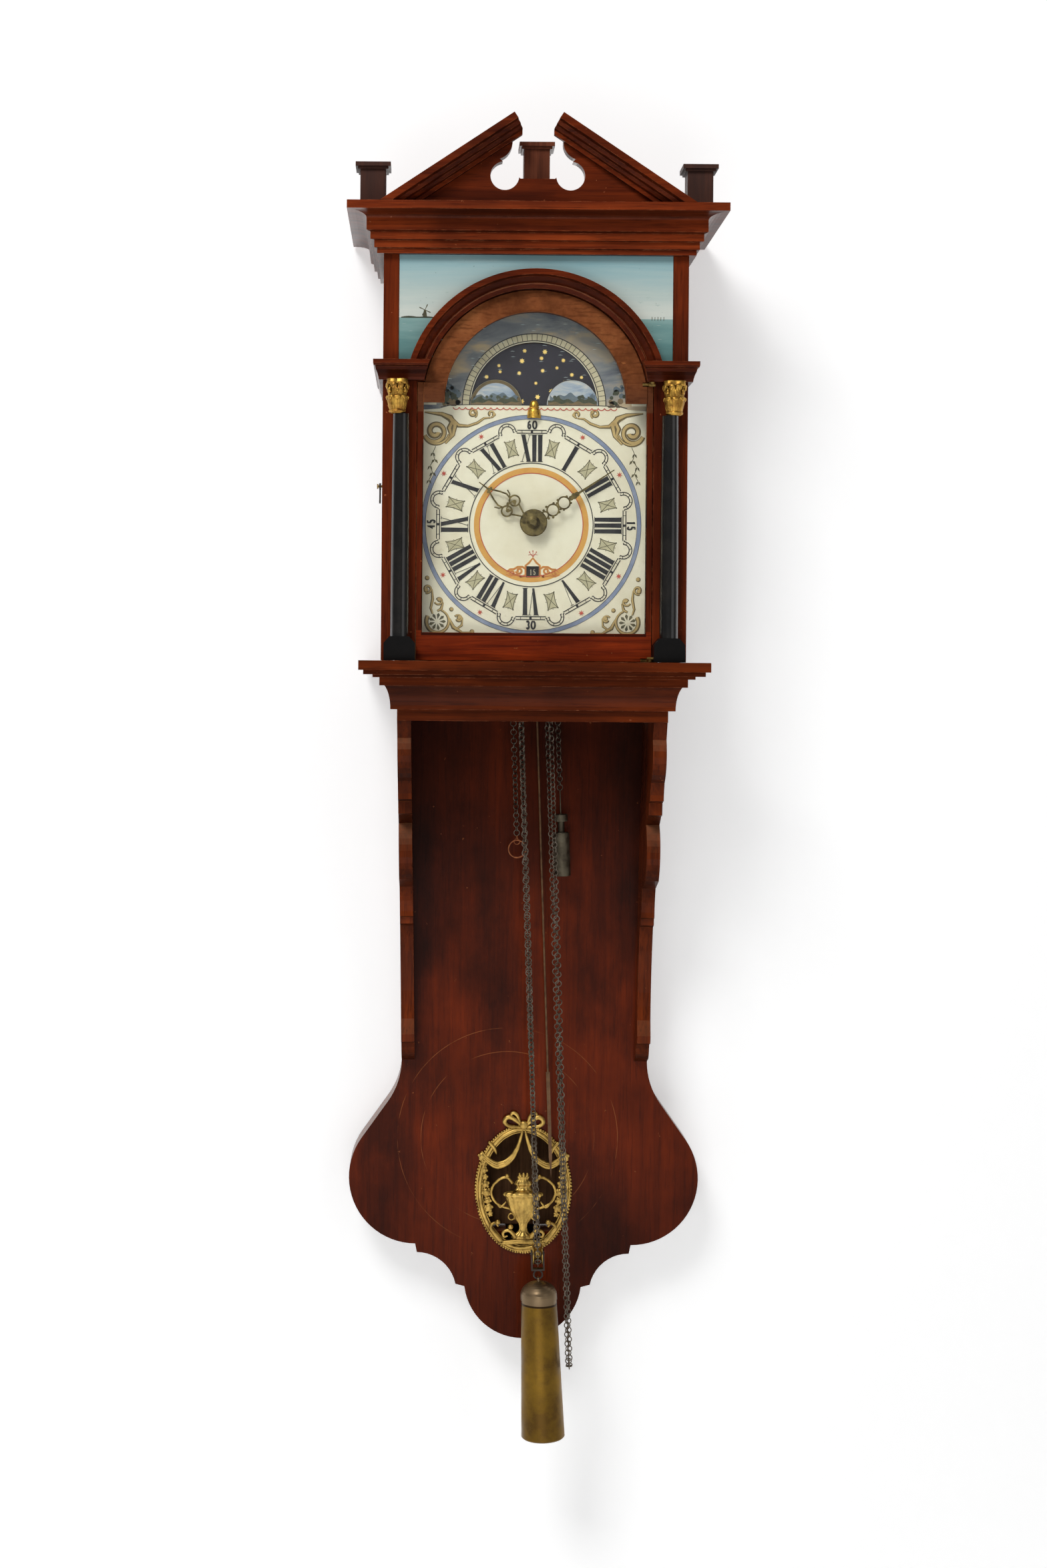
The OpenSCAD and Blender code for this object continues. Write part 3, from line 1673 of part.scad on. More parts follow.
module alarm_weight() {
    loop_h = 26;
    cap = 8;
    neck = 12;
    foot = cap + neck + alarm_weight_h;
    hook_h = loop_h - 1 + link_pitch / 2 - link_r + wire_d / 2 + 0.8;
    color(steel) placed()
        hung_from(alarm_line(1, -alarm_end_z - loop_h), alarm_y, -alarm_end_z - loop_h - 1) {
            rotate_extrude()
                polygon([[0, 0], [7, 0], [7.6, -1], [7.6, -cap + 1], [7, -cap], [3.8, -cap], [3.8, -cap - neck],
                    [8.6, -cap - neck], [9, -cap - neck - 1], [9, -foot + 0.6], [8.4, -foot], [0, -foot]]);
            for (side = [-1, 1])
                translate([0, side * 2, -1])
                    cylinder(r = 0.6, h = hook_h + 1);
            translate([0, 0, hook_h])
                rotate([90, 0, 90])
                    rotate_extrude(angle = 180)
                        translate([2, 0])
                            circle(0.6);
        }
}

backboard();
hanging_plate();
tail_front_board();
tail_rim();
left_bracket();
right_bracket();
base_slab();
base_cornice();
seat_board();
tail_ornament();
hood_front_frame();
hood_left_side();
hood_right_side();
painted_panel();
arch_moulding();
columns();
capitals();
column_bases();
top_cornice();
pediment_board();
raking_mouldings();
plinths();
front_door();
front_glass();
door_straps();
hood_pins();
side_door();
side_glass();
right_pane();
side_hook();
dial_plate();
moon_disc();
date_ring();
moon_pointer();
hour_hand();
minute_hand();
hand_disc();
movement_frame();
centre_wheel();
motion_wheel();
hour_wheel();
great_wheel();
third_wheel();
escape_wheel();
anchor();
pendulum();
strike_great_wheel();
strike_pin_wheel();
strike_fly();
hammer();
bell();
alarm_wheel();
weight_chain();
slack_chain();
weight_pulley();
weight_stirrup();
main_weight();
alarm_chain();
pull_chain();
alarm_weight();
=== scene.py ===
"""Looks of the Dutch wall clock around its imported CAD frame: woods, paints, metals, the painted dial, light and camera.

Lengths in the tables are millimetres in the clock's own face plane: x to the right of the middle, z above the
base slab. place() turns them into the row frame, in metres. The materials' own lengths are metres."""
import random
from math import cos, hypot, pi, radians, sin, sqrt

import bmesh
import bpy
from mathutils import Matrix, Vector, noise


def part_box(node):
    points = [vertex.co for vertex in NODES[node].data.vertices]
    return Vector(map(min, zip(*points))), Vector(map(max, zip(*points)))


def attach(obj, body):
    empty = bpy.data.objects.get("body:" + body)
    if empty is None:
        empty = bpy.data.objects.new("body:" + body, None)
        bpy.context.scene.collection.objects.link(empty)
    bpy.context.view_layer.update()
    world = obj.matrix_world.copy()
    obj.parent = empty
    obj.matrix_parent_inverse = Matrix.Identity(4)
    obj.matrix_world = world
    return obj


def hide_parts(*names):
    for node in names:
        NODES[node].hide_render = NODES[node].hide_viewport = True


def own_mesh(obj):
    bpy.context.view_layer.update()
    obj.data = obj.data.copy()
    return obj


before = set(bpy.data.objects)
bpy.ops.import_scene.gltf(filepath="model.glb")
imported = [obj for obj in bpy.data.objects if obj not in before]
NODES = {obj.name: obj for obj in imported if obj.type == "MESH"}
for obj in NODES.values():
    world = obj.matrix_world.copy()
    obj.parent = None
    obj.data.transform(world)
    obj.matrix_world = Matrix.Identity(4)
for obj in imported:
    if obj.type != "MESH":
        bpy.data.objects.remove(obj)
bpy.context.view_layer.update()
MATERIALS = {}
MM = 0.001
SLAB_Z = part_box("base_slab")[1][2]
rng = random.Random(7)
noise.seed_set(7)


def place(x, y, z):
    """A point given in millimetres from the middle, the wall and the base slab's top."""
    return Vector((x * MM, y * MM, SLAB_Z + z * MM))


def in_mm(box):
    """A box's two corners in millimetres, with heights above the base slab's top."""
    return [(x / MM, y / MM, z / MM - SLAB_Z / MM) for x, y, z in box]


def new_object(name, verts, faces, material, smooth=False):
    """A mesh object in the scene, with points in the row frame and one of the MATERIALS."""
    mesh = bpy.data.meshes.new(name)
    mesh.from_pydata(verts, [], faces)
    mesh.materials.append(MATERIALS[material])
    if smooth:
        mesh.shade_smooth()
    made = bpy.data.objects.new(name, mesh)
    bpy.context.collection.objects.link(made)
    return made


def round_steps(count):
    """Equal angles once round, in radians."""
    return [2 * pi * i / count for i in range(count)]


# ---------------------------------------------------------------- materials


def linear(r, g, b):
    """A colour read as 0 to 255 on a screen, as the shader wants it."""
    return tuple(((c / 255) / 12.92 if c <= 10.31 else ((c / 255 + 0.055) / 1.055) ** 2.4)
                 for c in (r, g, b)) + (1,)


BLACKENED = linear(18, 8, 5)
# Paler tone for upward faces: partly dust, partly painted light.
DUST_AND_LIGHT = linear(176, 128, 96)


class Shader:
    """A material whose nodes are added by name, with the main shader ready; MATERIALS keeps it by its name."""

    def __init__(self, name, rough=0.5, metal=0.0, coat=0.0, specular=0.5):
        self.material = MATERIALS[name] = bpy.data.materials.new(name)
        self.material.use_nodes = True
        self.tree = self.material.node_tree
        self.main = self.tree.nodes["Principled BSDF"]
        self.set({"Roughness": rough, "Metallic": metal, "Coat Weight": coat, "Coat Roughness": 0.12,
                  "Specular IOR Level": specular})
        self.coords = self.add("TexCoord").outputs["Object"]
        self.soft_normal = None

    def set(self, values):
        """Plain values on the main shader's own sockets."""
        for key, value in values.items():
            self.main.inputs[key].default_value = value

    def add(self, kind, inputs=None, **settings):
        made = self.tree.nodes.new("ShaderNode" + kind)
        for key, value in settings.items():
            setattr(made, key, value)
        for key, value in (inputs or {}).items():
            self.join(made.inputs[key], value)
        return made

    def join(self, socket, value):
        if isinstance(value, bpy.types.NodeSocket):
            self.tree.links.new(value, socket)
        else:
            socket.default_value = value

    def noise(self, scale, detail=4.0, rough=0.55, stretch=(1, 1, 1), distortion=0.0):
        """Noise whose cells are 1 / scale metres wide, drawn out along an axis by a small stretch there."""
        mapped = self.add("Mapping", {"Vector": self.coords, "Scale": stretch}).outputs["Vector"]
        return self.add("TexNoise", {"Vector": mapped, "Scale": scale, "Detail": detail,
                                               "Roughness": rough, "Distortion": distortion}).outputs["Fac"]

    def ramp(self, value, stops):
        made = self.add("ValToRGB", {"Fac": value})
        elements = made.color_ramp.elements
        while len(elements) < len(stops):
            elements.new(0.5)
        for element, (position, colour) in zip(elements, stops):
            element.position = position
            element.color = colour
        return made.outputs["Color"]

    def mask(self, value, low, high, below, above):
        """A grey that goes from the tone below, at low, to the tone above, at high."""
        return self.ramp(value, [(low, (below,) * 3 + (1,)), (high, (above,) * 3 + (1,))])

    def mix(self, factor, a, b):
        made = self.add("Mix", data_type="RGBA")
        for index, value in ((0, factor), (6, a), (7, b)):
            self.join(made.inputs[index], value)
        return made.outputs[2]

    def math(self, kind, a, b=0.0):
        return self.add("Math", {0: a, 1: b}, operation=kind).outputs[0]

    def times(self, a, b):
        return self.math("MULTIPLY", a, b)

    def away(self, a, b):
        """The distance between two numbers."""
        return self.math("ABSOLUTE", self.math("SUBTRACT", a, b))

    def axis(self, which):
        """One of the object's own coordinates, in metres."""
        return self.add("SeparateXYZ", {"Vector": self.coords}).outputs[which]

    def between(self, value, low, high):
        """0 below low, 1 above high, and even in between."""
        return self.add("MapRange", {"Value": value, "From Min": low, "From Max": high}).outputs["Result"]

    def fade(self, colour, other, value, low, high, amount=None):
        """colour where value is low and other where it is high, or a share of other if amount is given."""
        reach = self.between(value, low, high)
        return self.mix(self.times(reach, amount) if amount else reach, colour, other)

    def edges(self, radius=0.0008):
        """1 on the sharp edges of the form, which then also catch the light as rounded ones do."""
        self.soft_normal = self.add("Bevel", {"Radius": radius}, samples=4).outputs["Normal"]
        true = self.add("NewGeometry").outputs["True Normal"]
        turned = self.add("VectorMath", {0: self.soft_normal, 1: true}, operation="DOT_PRODUCT")
        return self.between(turned.outputs["Value"], 0.995, 0.90)

    def handled(self, colour, dust_and_light):
        """Faces that look up are paler, partly for dust and partly as painted light, and those that look down are
        darkened as painted shade.
        """
        normal = self.add("NewGeometry").outputs["Normal"]
        up = self.add("SeparateXYZ", {"Vector": normal}).outputs[2]
        return self.fade(self.fade(colour, DUST_AND_LIGHT, up, 0.1, 0.8, dust_and_light), BLACKENED, up, -0.05, -0.7, 0.6)

    def recesses(self, colour, dark, reach=0.005, strength=0.85):
        """Dirt and painted shade in the hollows of carved or cast work."""
        open_part = self.add("AmbientOcclusion", {"Distance": reach}, samples=4).outputs["AO"]
        return self.fade(colour, dark, open_part, 0.72, 0.34, strength)

    def grey(self, value):
        """A ramp colour used as a plain number."""
        return self.add("RGBToBW", {"Color": value}).outputs[0]

    def bump(self, height, strength, distance):
        made = self.add("Bump", {"Height": height, "Strength": strength, "Distance": distance})
        if self.soft_normal:
            self.join(made.inputs["Normal"], self.soft_normal)
        self.join(self.main.inputs["Normal"], made.outputs["Normal"])

    def colour(self, value):
        self.join(self.main.inputs["Base Color"], value)

    def rough(self, value):
        self.join(self.main.inputs["Roughness"], value)

    def clear_where(self, factor, shader):
        """Lets light straight through where factor is 1."""
        clear = self.add("BsdfTransparent").outputs[0]
        both = self.add("MixShader", {0: factor, 1: shader, 2: clear}).outputs[0]
        self.join(self.tree.nodes["Material Output"].inputs["Surface"], both)


ALONG = {"x": (0.045, 1, 1), "z": (1, 1, 0.045)}


def stain(s, dark, light, along, calm=0.0):
    """The figure of stained wood: drawn-out grain, long dark streaks, pores and blotches."""
    stretch = ALONG[along]
    figure, streak = s.noise(90, 6, 0.62, stretch, 0.9), s.noise(34, 4, 0.6, stretch, 0.4)
    pores, blotch = s.noise(460, 3, 0.6, stretch), s.noise(8, 4, 0.55)
    deep = s.mix(0.62, dark, BLACKENED)
    colour = s.ramp(figure, [(0.32 - calm, dark), (0.66 + calm, light)])
    for value, low, high, amount in ((streak, 0.34 - calm / 2, 0.54 - calm / 2, 0.4), (pores, 0.34, 0.46, 0.5 - calm),
                                     (blotch, 0.34, 0.60, 0.6)):
        colour = s.mix(s.mask(value, low, high, amount, 0), colour, deep)
    return colour, pores, blotch


def wood(name, dark, light, along="z", rough=0.42, coat=0.7, wear=None, special=None, dust_and_light=0.3, calm=0.0):
    """Waxed wood with rubbed edges, dust and painted light on upward faces and painted shade on downward ones; special
    may change the colour for one node's own marks and painted shade.
    """
    s = Shader(name, rough, coat=coat, specular=0.05)
    s.set({"Coat IOR": 1.11, "Coat Roughness": 0.16})
    colour, pores, blotch = stain(s, linear(*dark), linear(*light), along, calm)
    if special:
        colour = special(s, colour)
    # Paler upward faces for dust and painted light, and painted shade on downward faces.
    colour = s.handled(colour, dust_and_light)
    rim = s.edges()
    if wear:
        chips = s.grey(s.mask(s.noise(70, 5, 0.7), 0.46, 0.60, 0, 1))
        specks = s.mask(s.noise(150, 3, 0.6), 0.725, 0.75, 0, 0.7)
        for worn in (s.times(rim, chips), specks):
            colour = s.mix(worn, colour, linear(*wear))
    s.colour(colour)
    s.rough(s.mask(blotch, 0.3, 0.7, rough + 0.14, rough - 0.06))
    s.bump(pores, 0.3, 0.0005)


def local_z(node, z):
    """The height z of the clock in a node's own coordinates."""
    return (NODES[node].matrix_world.inverted() @ place(0, 0, z)).z


# The front door's own marks: its heights in millimetres, and half the width of its opening in metres.
OAK_DARK, OAK_LIGHT, OAK_PALE = linear(88, 46, 22), linear(134, 76, 42), linear(162, 100, 58)
RAIL_DARK, RAIL_LIGHT = linear(104, 32, 12), linear(168, 62, 20)
ARCH_FOOT, SHOULDER, RAIL_TOP = 305, 262, 32
OPENING_HALF = 0.1148


def oak_arch(s, colour):
    """Worn oak above the door's shoulders, stained stiles below them, a level bottom rail and a black line of painted
    shade along the opening's sides and foot.
    """
    lowest, shoulder, rail = [local_z("front_door", z) for z in (ARCH_FOOT, SHOULDER, RAIL_TOP)]
    z, x = s.axis(2), s.math("ABSOLUTE", s.axis(0))
    patches = s.ramp(s.noise(14, 7, 0.7), [(0.34, OAK_DARK), (0.52, OAK_LIGHT), (0.70, OAK_PALE)])
    bare = s.mix(s.mask(s.noise(330, 4, 0.6, (0.2, 1, 1)), 0.36, 0.5, 0.6, 0), patches, OAK_DARK)
    bare = s.fade(bare, linear(74, 44, 32), z, lowest, lowest - 0.03, 0.6)
    level, _, _ = stain(s, RAIL_DARK, RAIL_LIGHT, "x")
    colour = s.fade(colour, level, z, rail + 0.0003, rail - 0.0003)
    colour = s.fade(colour, bare, z, shoulder - 0.001, shoulder)
    # Painted shade: a black line along the sides and the bottom of the door's opening.
    inside = s.times(s.between(x, OPENING_HALF + 0.0034, OPENING_HALF + 0.003),
                     s.between(z, rail - 0.0054, rail - 0.005))
    beside = s.times(s.between(x, OPENING_HALF - 0.0004, OPENING_HALF), inside)
    under = s.times(s.between(z, rail - 0.0022, rail - 0.0026), inside)
    low = s.between(z, shoulder - 0.0335, shoulder - 0.034)
    line = s.times(s.math("MAXIMUM", beside, under), low)
    return s.mix(s.times(line, 0.8), colour, BLACKENED)


def dark_ends(s, colour):
    """Darker stain on the two corner plinths than on the middle one."""
    dark = s.mix(0.8, colour, linear(60, 48, 45))
    return s.fade(colour, dark, s.math("ABSOLUTE", s.axis(0)), 0.08, 0.09)


SWING_X, SWING_Z = -0.018, -528


def swing_marks(s, colour):
    """The tail board: random dark stains in the old varnish, painted shade down its sides by the brackets and over its
    top under the base slab, darker towards the bottom, and pale scratches that swing round the ornament.
    """
    centre, side_shade_full, side_shade_none, low_top, low_end, top_shade_start, top_shade_full = [
        local_z("tail_front_board", z) for z in (SWING_Z, -250, -420, -520, -700, -330, -40)]
    x, z = s.axis(0), s.axis(2)
    stains = s.grey(s.mask(s.noise(9, 6, 0.66, (1, 1, 0.5)), 0.44, 0.62, 0, 0.6))
    colour = s.mix(stains, colour, BLACKENED)
    # Painted shade down both sides of the board, next to the brackets.
    side = s.times(s.between(s.math("ABSOLUTE", x), 0.07, 0.125), s.between(z, side_shade_none, side_shade_full))
    colour = s.mix(s.times(side, 0.6), colour, BLACKENED)
    u, v = s.math("ADD", x, -SWING_X), s.math("SUBTRACT", z, centre)
    r = s.math("SQRT", s.math("ADD", s.times(u, u), s.times(v, v)))
    broken = s.grey(s.mask(s.noise(28, 4), 0.44, 0.60, 0, 0.7))
    for radius, shift in ((0.122, 0.0), (0.098, 0.004)):
        off = s.away(s.math("ADD", r, s.times(s.noise(4), shift)), radius)
        colour = s.mix(s.times(s.between(off, 0.0006, 0.0002), broken), colour, linear(150, 84, 44))
    # Painted shade over the top of the board, under the base slab and seat.
    colour = s.fade(colour, s.mix(0.6, colour, BLACKENED), z, top_shade_start, top_shade_full, 0.7)
    # Darker towards the bottom of the board.
    return s.fade(colour, BLACKENED, z, low_top, low_end, 0.5)


def lead_cap(s, colour):
    """The dull soldered cap on top of the brass weight, with its dark joint."""
    z, seam = s.axis(2), local_z("main_weight", -694)
    colour = s.fade(colour, linear(126, 106, 80), z, seam - 0.0005, seam)
    return s.fade(colour, linear(52, 36, 18), s.away(z, seam), 0.0014, 0.0008)


def paint(name, base, aged, rough=0.5, coat=0.0, grain=30, bump=0.1, specular=0.5):
    """Old paint: a slow change of tone, with small stains."""
    s = Shader(name, rough, coat=coat, specular=specular)
    base, aged = linear(*base), linear(*aged)
    colour = s.mix(s.mask(s.noise(grain, 5, 0.65), 0.42, 0.72, 0, 0.8), base, aged)
    s.colour(s.mix(s.mask(s.noise(grain * 14, 2, 0.5), 0.70, 0.76, 0, 0.6), colour, aged))
    s.bump(s.noise(grain * 6, 3), bump, 0.0005)


def metal(name, base, tarnish, rough=0.38, spread=0.5, grain=60, metallic=1.0, bump=0.12, hollow=None, special=None):
    """Old metal: patches of tarnish that are also duller, small dents, and dirt and painted shade in the hollows of
    cast work.
    """
    s = Shader(name, rough, metallic)
    patch = s.mask(s.noise(grain, 6, 0.65), spread - 0.14, spread + 0.14, 1, 0)
    colour = s.mix(patch, linear(*base), linear(*tarnish))
    if special:
        colour = special(s, colour)
    # Dirt and painted shade darken the hollows where a hollow colour is given.
    s.colour(s.recesses(colour, linear(*hollow)) if hollow else colour)
    s.rough(s.mask(s.noise(grain * 2, 4), 0.3, 0.7, rough - 0.08, min(rough + 0.22, 1)))
    s.bump(s.noise(grain * 7, 3), bump, 0.0004)


def sky(name, low, middle, high, scale):
    """Thinly brushed sky whose clouds lie in level streaks."""
    s = Shader(name)
    streaks = s.noise(scale, 5, 0.6, (0.5, 1, 1.6), 0.8)
    s.colour(s.ramp(streaks, [(0.34, linear(*low)), (0.5, linear(*middle)), (0.68, linear(*high))]))
    s.bump(s.noise(scale * 12, 2), 0.03, 0.0004)


AIR = ((0.0, (222, 228, 218)), (0.4, (196, 212, 206)), (0.75, (166, 198, 200)), (1.0, (138, 182, 190)))
WATER = ((0.0, (74, 112, 112)), (0.6, (104, 148, 146)), (1.0, (140, 176, 172)))


def sea_view(name):
    """A level sea under a pale clearing sky, thinly brushed; the horizon is half way up the panel."""
    s = Shader(name, specular=0.25)
    low, high = [v[2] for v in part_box("painted_panel")]
    shift = local_z("painted_panel", 0) - SLAB_Z
    mid = (low + high) / 2 + shift
    z = s.axis(2)

    def brushed(bottom, top, streaks, amount, stops):
        wave = s.times(s.math("SUBTRACT", streaks, 0.5), amount)
        return s.ramp(s.math("ADD", s.between(z, bottom, top), wave), [(at, linear(*c)) for at, c in stops])

    air = brushed(mid, high + shift, s.noise(26, 6, 0.66, (0.22, 1, 3.0), 0.4), 0.7, AIR)
    water = brushed(low + shift, mid, s.noise(50, 4, 0.6, (0.25, 1, 2.0)), 0.8, WATER)
    colour = s.fade(water, air, z, mid - 0.0004, mid + 0.0004)
    s.colour(s.mix(s.mask(s.noise(300, 2), 0.70, 0.76, 0, 0.5), colour, linear(60, 84, 84)))
    s.bump(s.noise(240, 2), 0.05, 0.0004)


def pane(name):
    """Thin old glass, which lets the lamps' light through to the dial."""
    s = Shader(name, 0.02)
    s.set({"Transmission Weight": 1.0, "IOR": 1.45})
    s.colour(s.mix(s.noise(3, 2), (0.97, 0.985, 0.98, 1), (0.99, 1, 0.995, 1)))
    s.bump(s.noise(14, 2), 0.03, 0.001)
    s.clear_where(s.add("LightPath").outputs["Is Shadow Ray"], s.main.outputs[0])


HOOD = (84, 28, 10), (136, 54, 20)
CASE = (80, 30, 8), (124, 50, 14)
wood("hood_upright", *HOOD, "z", wear=(176, 96, 58))
wood("hood_level", *HOOD, "x", wear=(182, 104, 66))
wood("cornice_wood", (100, 36, 15), (162, 68, 28), "x", wear=(186, 110, 72))
wood("case_upright", *CASE, "z", 0.5, wear=(140, 76, 40))
wood("case_level", *CASE, "x", 0.44, wear=(176, 104, 70), dust_and_light=0.5)
wood("tail_stain_and_shade", (78, 24, 5), (136, 48, 9), "z", 0.5, wear=(140, 76, 40), special=swing_marks, calm=0.16)
wood("door_oak", *HOOD, "z", 0.5, 0.5, wear=(170, 104, 58), special=oak_arch)
wood("plain_wood", (70, 46, 30), (120, 86, 58), "z", 0.75, 0.0)
wood("plinth_wood", (96, 52, 38), (140, 78, 54), "z", 0.45, 0.1, special=dark_ends)

metal("gilding", (218, 174, 82), (140, 92, 42), 0.38, 0.46, 110, hollow=(30, 14, 6))
metal("ornament_brass", (214, 178, 98), (118, 88, 44), 0.36, 0.44, 80, hollow=(48, 28, 12))
metal("pointer_gilt", (222, 176, 70), (150, 104, 34), 0.3, 0.4, 200)
metal("hand_brass", (126, 112, 70), (72, 62, 40), 0.42, 0.5, 160, 0.9)
metal("wheel_brass", (196, 164, 92), (140, 112, 60), 0.3, 0.4, 70)
metal("hinge_brass", (170, 140, 80), (104, 84, 48), 0.4, 0.5, 120)
metal("weight_brass", (134, 102, 34), (88, 64, 24), 0.34, 0.5, 26, 0.9, 0.2, special=lead_cap)
metal("frame_iron", (92, 88, 84), (58, 50, 46), 0.55, 0.5, 60, 0.8)
metal("wire_iron", (84, 80, 76), (58, 44, 36), 0.5, 0.5, 150, 0.85)
metal("chain_iron", (128, 119, 106), (74, 60, 48), 0.45, 0.5, 130, 0.85)
metal("rod_brown", (132, 98, 66), (86, 60, 40), 0.5, 0.5, 120, 0.5)
metal("copper", (176, 112, 74), (116, 66, 44), 0.38, 0.5, 140)
metal("lead", (116, 108, 90), (74, 66, 54), 0.42, 0.5, 70, 0.9, 0.3)

sky("sky_paint", (74, 80, 92), (118, 122, 122), (176, 156, 120), 22)
sky("hump_paint", (104, 124, 146), (146, 158, 166), (190, 184, 168), 60)
sea_view("sea_view")
pane("pane")

paint("ebony_paint", (8, 7, 7), (34, 30, 26), 0.3, 1.0, bump=0.5, specular=0.25)
paint("base_black", (8, 7, 7), (18, 15, 14), 0.5, 0.1, specular=0.12)
paint("dial_cream", (216, 211, 186), (200, 191, 160), 0.45, grain=16, bump=0.03)
paint("moon_navy", (30, 27, 38), (22, 20, 28))
paint("date_black", (30, 28, 28), (60, 54, 48))
for brushed_name, base_tone, aged_tone, sheen, speckle in (
        ("ink", (22, 21, 23), (52, 50, 48), 0.45, 60),
        ("dial_blue", (112, 124, 146), (142, 150, 166), 0.45, 60),
        ("dial_orange", (196, 146, 66), (180, 126, 50), 0.45, 60),
        ("dial_red", (168, 60, 44), (192, 96, 72), 0.45, 90),
        ("mark_grey", (174, 168, 134), (156, 150, 116), 0.45, 90),
        ("scale_paint", (186, 178, 146), (160, 150, 118), 0.45, 60),
        ("star_gold", (236, 206, 116), (206, 168, 78), 0.4, 120),
        ("olive_line", (72, 68, 46), (110, 102, 66), 0.5, 120),
        ("scroll_shade", (98, 82, 46), (78, 66, 38), 0.5, 120),
        ("scroll_light", (178, 154, 98), (150, 122, 70), 0.5, 120),
        ("foam_paint", (190, 208, 200), (160, 186, 180), 0.5, 120),
        ("far_paint", (78, 92, 100), (104, 112, 110), 0.5, 120),
        ("mid_paint", (46, 54, 36), (74, 72, 44), 0.5, 160),
        ("near_paint", (112, 92, 60), (66, 62, 40), 0.5, 160)):
    paint(brushed_name, base_tone, aged_tone, sheen, grain=speckle, bump=0.02)

NODE_MATERIALS = {
    "plain_wood": "backboard seat_board",
    "wire_iron": "hanging_plate side_hook weight_stirrup",
    "rod_brown": "pendulum",
    "case_upright": "tail_rim left_bracket right_bracket",
    "tail_stain_and_shade": "tail_front_board",
    "case_level": "base_slab base_cornice",
    "ornament_brass": "tail_ornament",
    "hood_upright": "hood_front_frame hood_left_side hood_right_side side_door",
    "hood_level": "arch_moulding pediment_board raking_mouldings",
    "cornice_wood": "top_cornice",
    "dial_cream": "dial_plate",
    "sea_view": "painted_panel",
    "ebony_paint": "columns",
    "base_black": "column_bases",
    "gilding": "capitals",
    "plinth_wood": "plinths",
    "door_oak": "front_door",
    "pane": "front_glass side_glass right_pane",
    "hinge_brass": "door_straps hood_pins",
    "moon_navy": "moon_disc",
    "date_black": "date_ring",
    "pointer_gilt": "moon_pointer",
    "hand_brass": "hour_hand minute_hand hand_disc",
    "frame_iron": "movement_frame anchor hammer",
    "wheel_brass": "centre_wheel motion_wheel hour_wheel great_wheel third_wheel escape_wheel strike_great_wheel "
                   "strike_pin_wheel strike_fly bell alarm_wheel weight_pulley",
    "chain_iron": "weight_chain slack_chain alarm_chain pull_chain",
    "weight_brass": "main_weight",
    "lead": "alarm_weight",
}
for finish, names in NODE_MATERIALS.items():
    for node_name in names.split():
        NODES[node_name].data.materials.clear()
        NODES[node_name].data.materials.append(MATERIALS[finish])


# ---------------------------------------------------------------- painted work, laid as thin flat shapes on its plane


def polar(angle, r, x=0.0, z=0.0):
    """A point at a clock angle (degrees clockwise from the top) and a distance from x, z."""
    a = radians(angle)
    return (x + r * sin(a), z + r * cos(a))


def arc(r, x, z, start, end, step):
    """Points on a circle round x, z, at whole clock angles."""
    return [polar(a, r, x, z) for a in range(start, end, step)]


HAIR = 0.004    # millimetres between neighbouring shapes of one layer


class Paint:
    """Flat shapes on one plane that faces the viewer, with a transform for the shapes that come next."""

    def __init__(self):
        self.shapes = []
        self.at(0, 0)

    def at(self, x, z, turn=0.0, flip=1):
        a = radians(turn)
        self.frame = (x, z, cos(a), sin(a), flip)
        return self

    def poly(self, points):
        x0, z0, c, s, flip = self.frame
        self.shapes.append([(x0 + (flip * x * c + z * s), z0 + (z * c - flip * x * s)) for x, z in points])

    def dot(self, x, z, r, n=10):
        self.poly([polar(360 * i / n, r, x, z) for i in range(n)])

    def star(self, x, z, r, points=6, waist=0.4, turn=0):
        self.poly([polar(turn + 180 * i / points, r if i % 2 == 0 else r * waist, x, z) for i in range(2 * points)])

    def band(self, points, widths):
        """A strip along points; widths is one number or one for each point."""
        if not isinstance(widths, (list, tuple)):
            widths = [widths] * len(points)
        rims = []
        for i, (x, z) in enumerate(points):
            a, b = points[max(i - 1, 0)], points[min(i + 1, len(points) - 1)]
            dx, dz = b[0] - a[0], b[1] - a[1]
            k = widths[i] / 2 / (hypot(dx, dz) or 1)
            rims.append(((x - dz * k, z + dx * k), (x + dz * k, z - dx * k)))
        for (a, b), (c, d) in zip(rims, rims[1:]):
            self.poly([a, b, d, c])

    def ring(self, x, z, r, w, start=0, end=360, step=3):
        n = max(2, round((end - start) / step))
        self.band([polar(start + (end - start) * i / n, r, x, z) for i in range(n + 1)], w)

    def curl(self, x, z, r0, r1, start, end, w0, w1, step=12):
        """A spiral from radius r0 at start to r1 at end, whose width goes from w0 to w1."""
        n = max(2, round(abs(end - start) / step))
        points = [polar(start + (end - start) * i / n, r0 + (r1 - r0) * i / n, x, z) for i in range(n + 1)]
        self.band(points, [w0 + (w1 - w0) * i / n for i in range(n + 1)])

    def make(self, name, material, y, body):
        """The shapes as one mesh just in front of y, in millimetres; neighbours differ a hair in depth."""
        verts, faces = [], []
        for i, shape in enumerate(self.shapes):
            faces.append(tuple(range(len(verts), len(verts) + len(shape))))
            verts += [place(x, y - HAIR * (i % 12), z) for x, z in shape]
        made = new_object(name, verts, faces, material)
        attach(made, body)


def front(node):
    """A node's front plane, in millimetres."""
    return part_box(node)[0][1] / MM


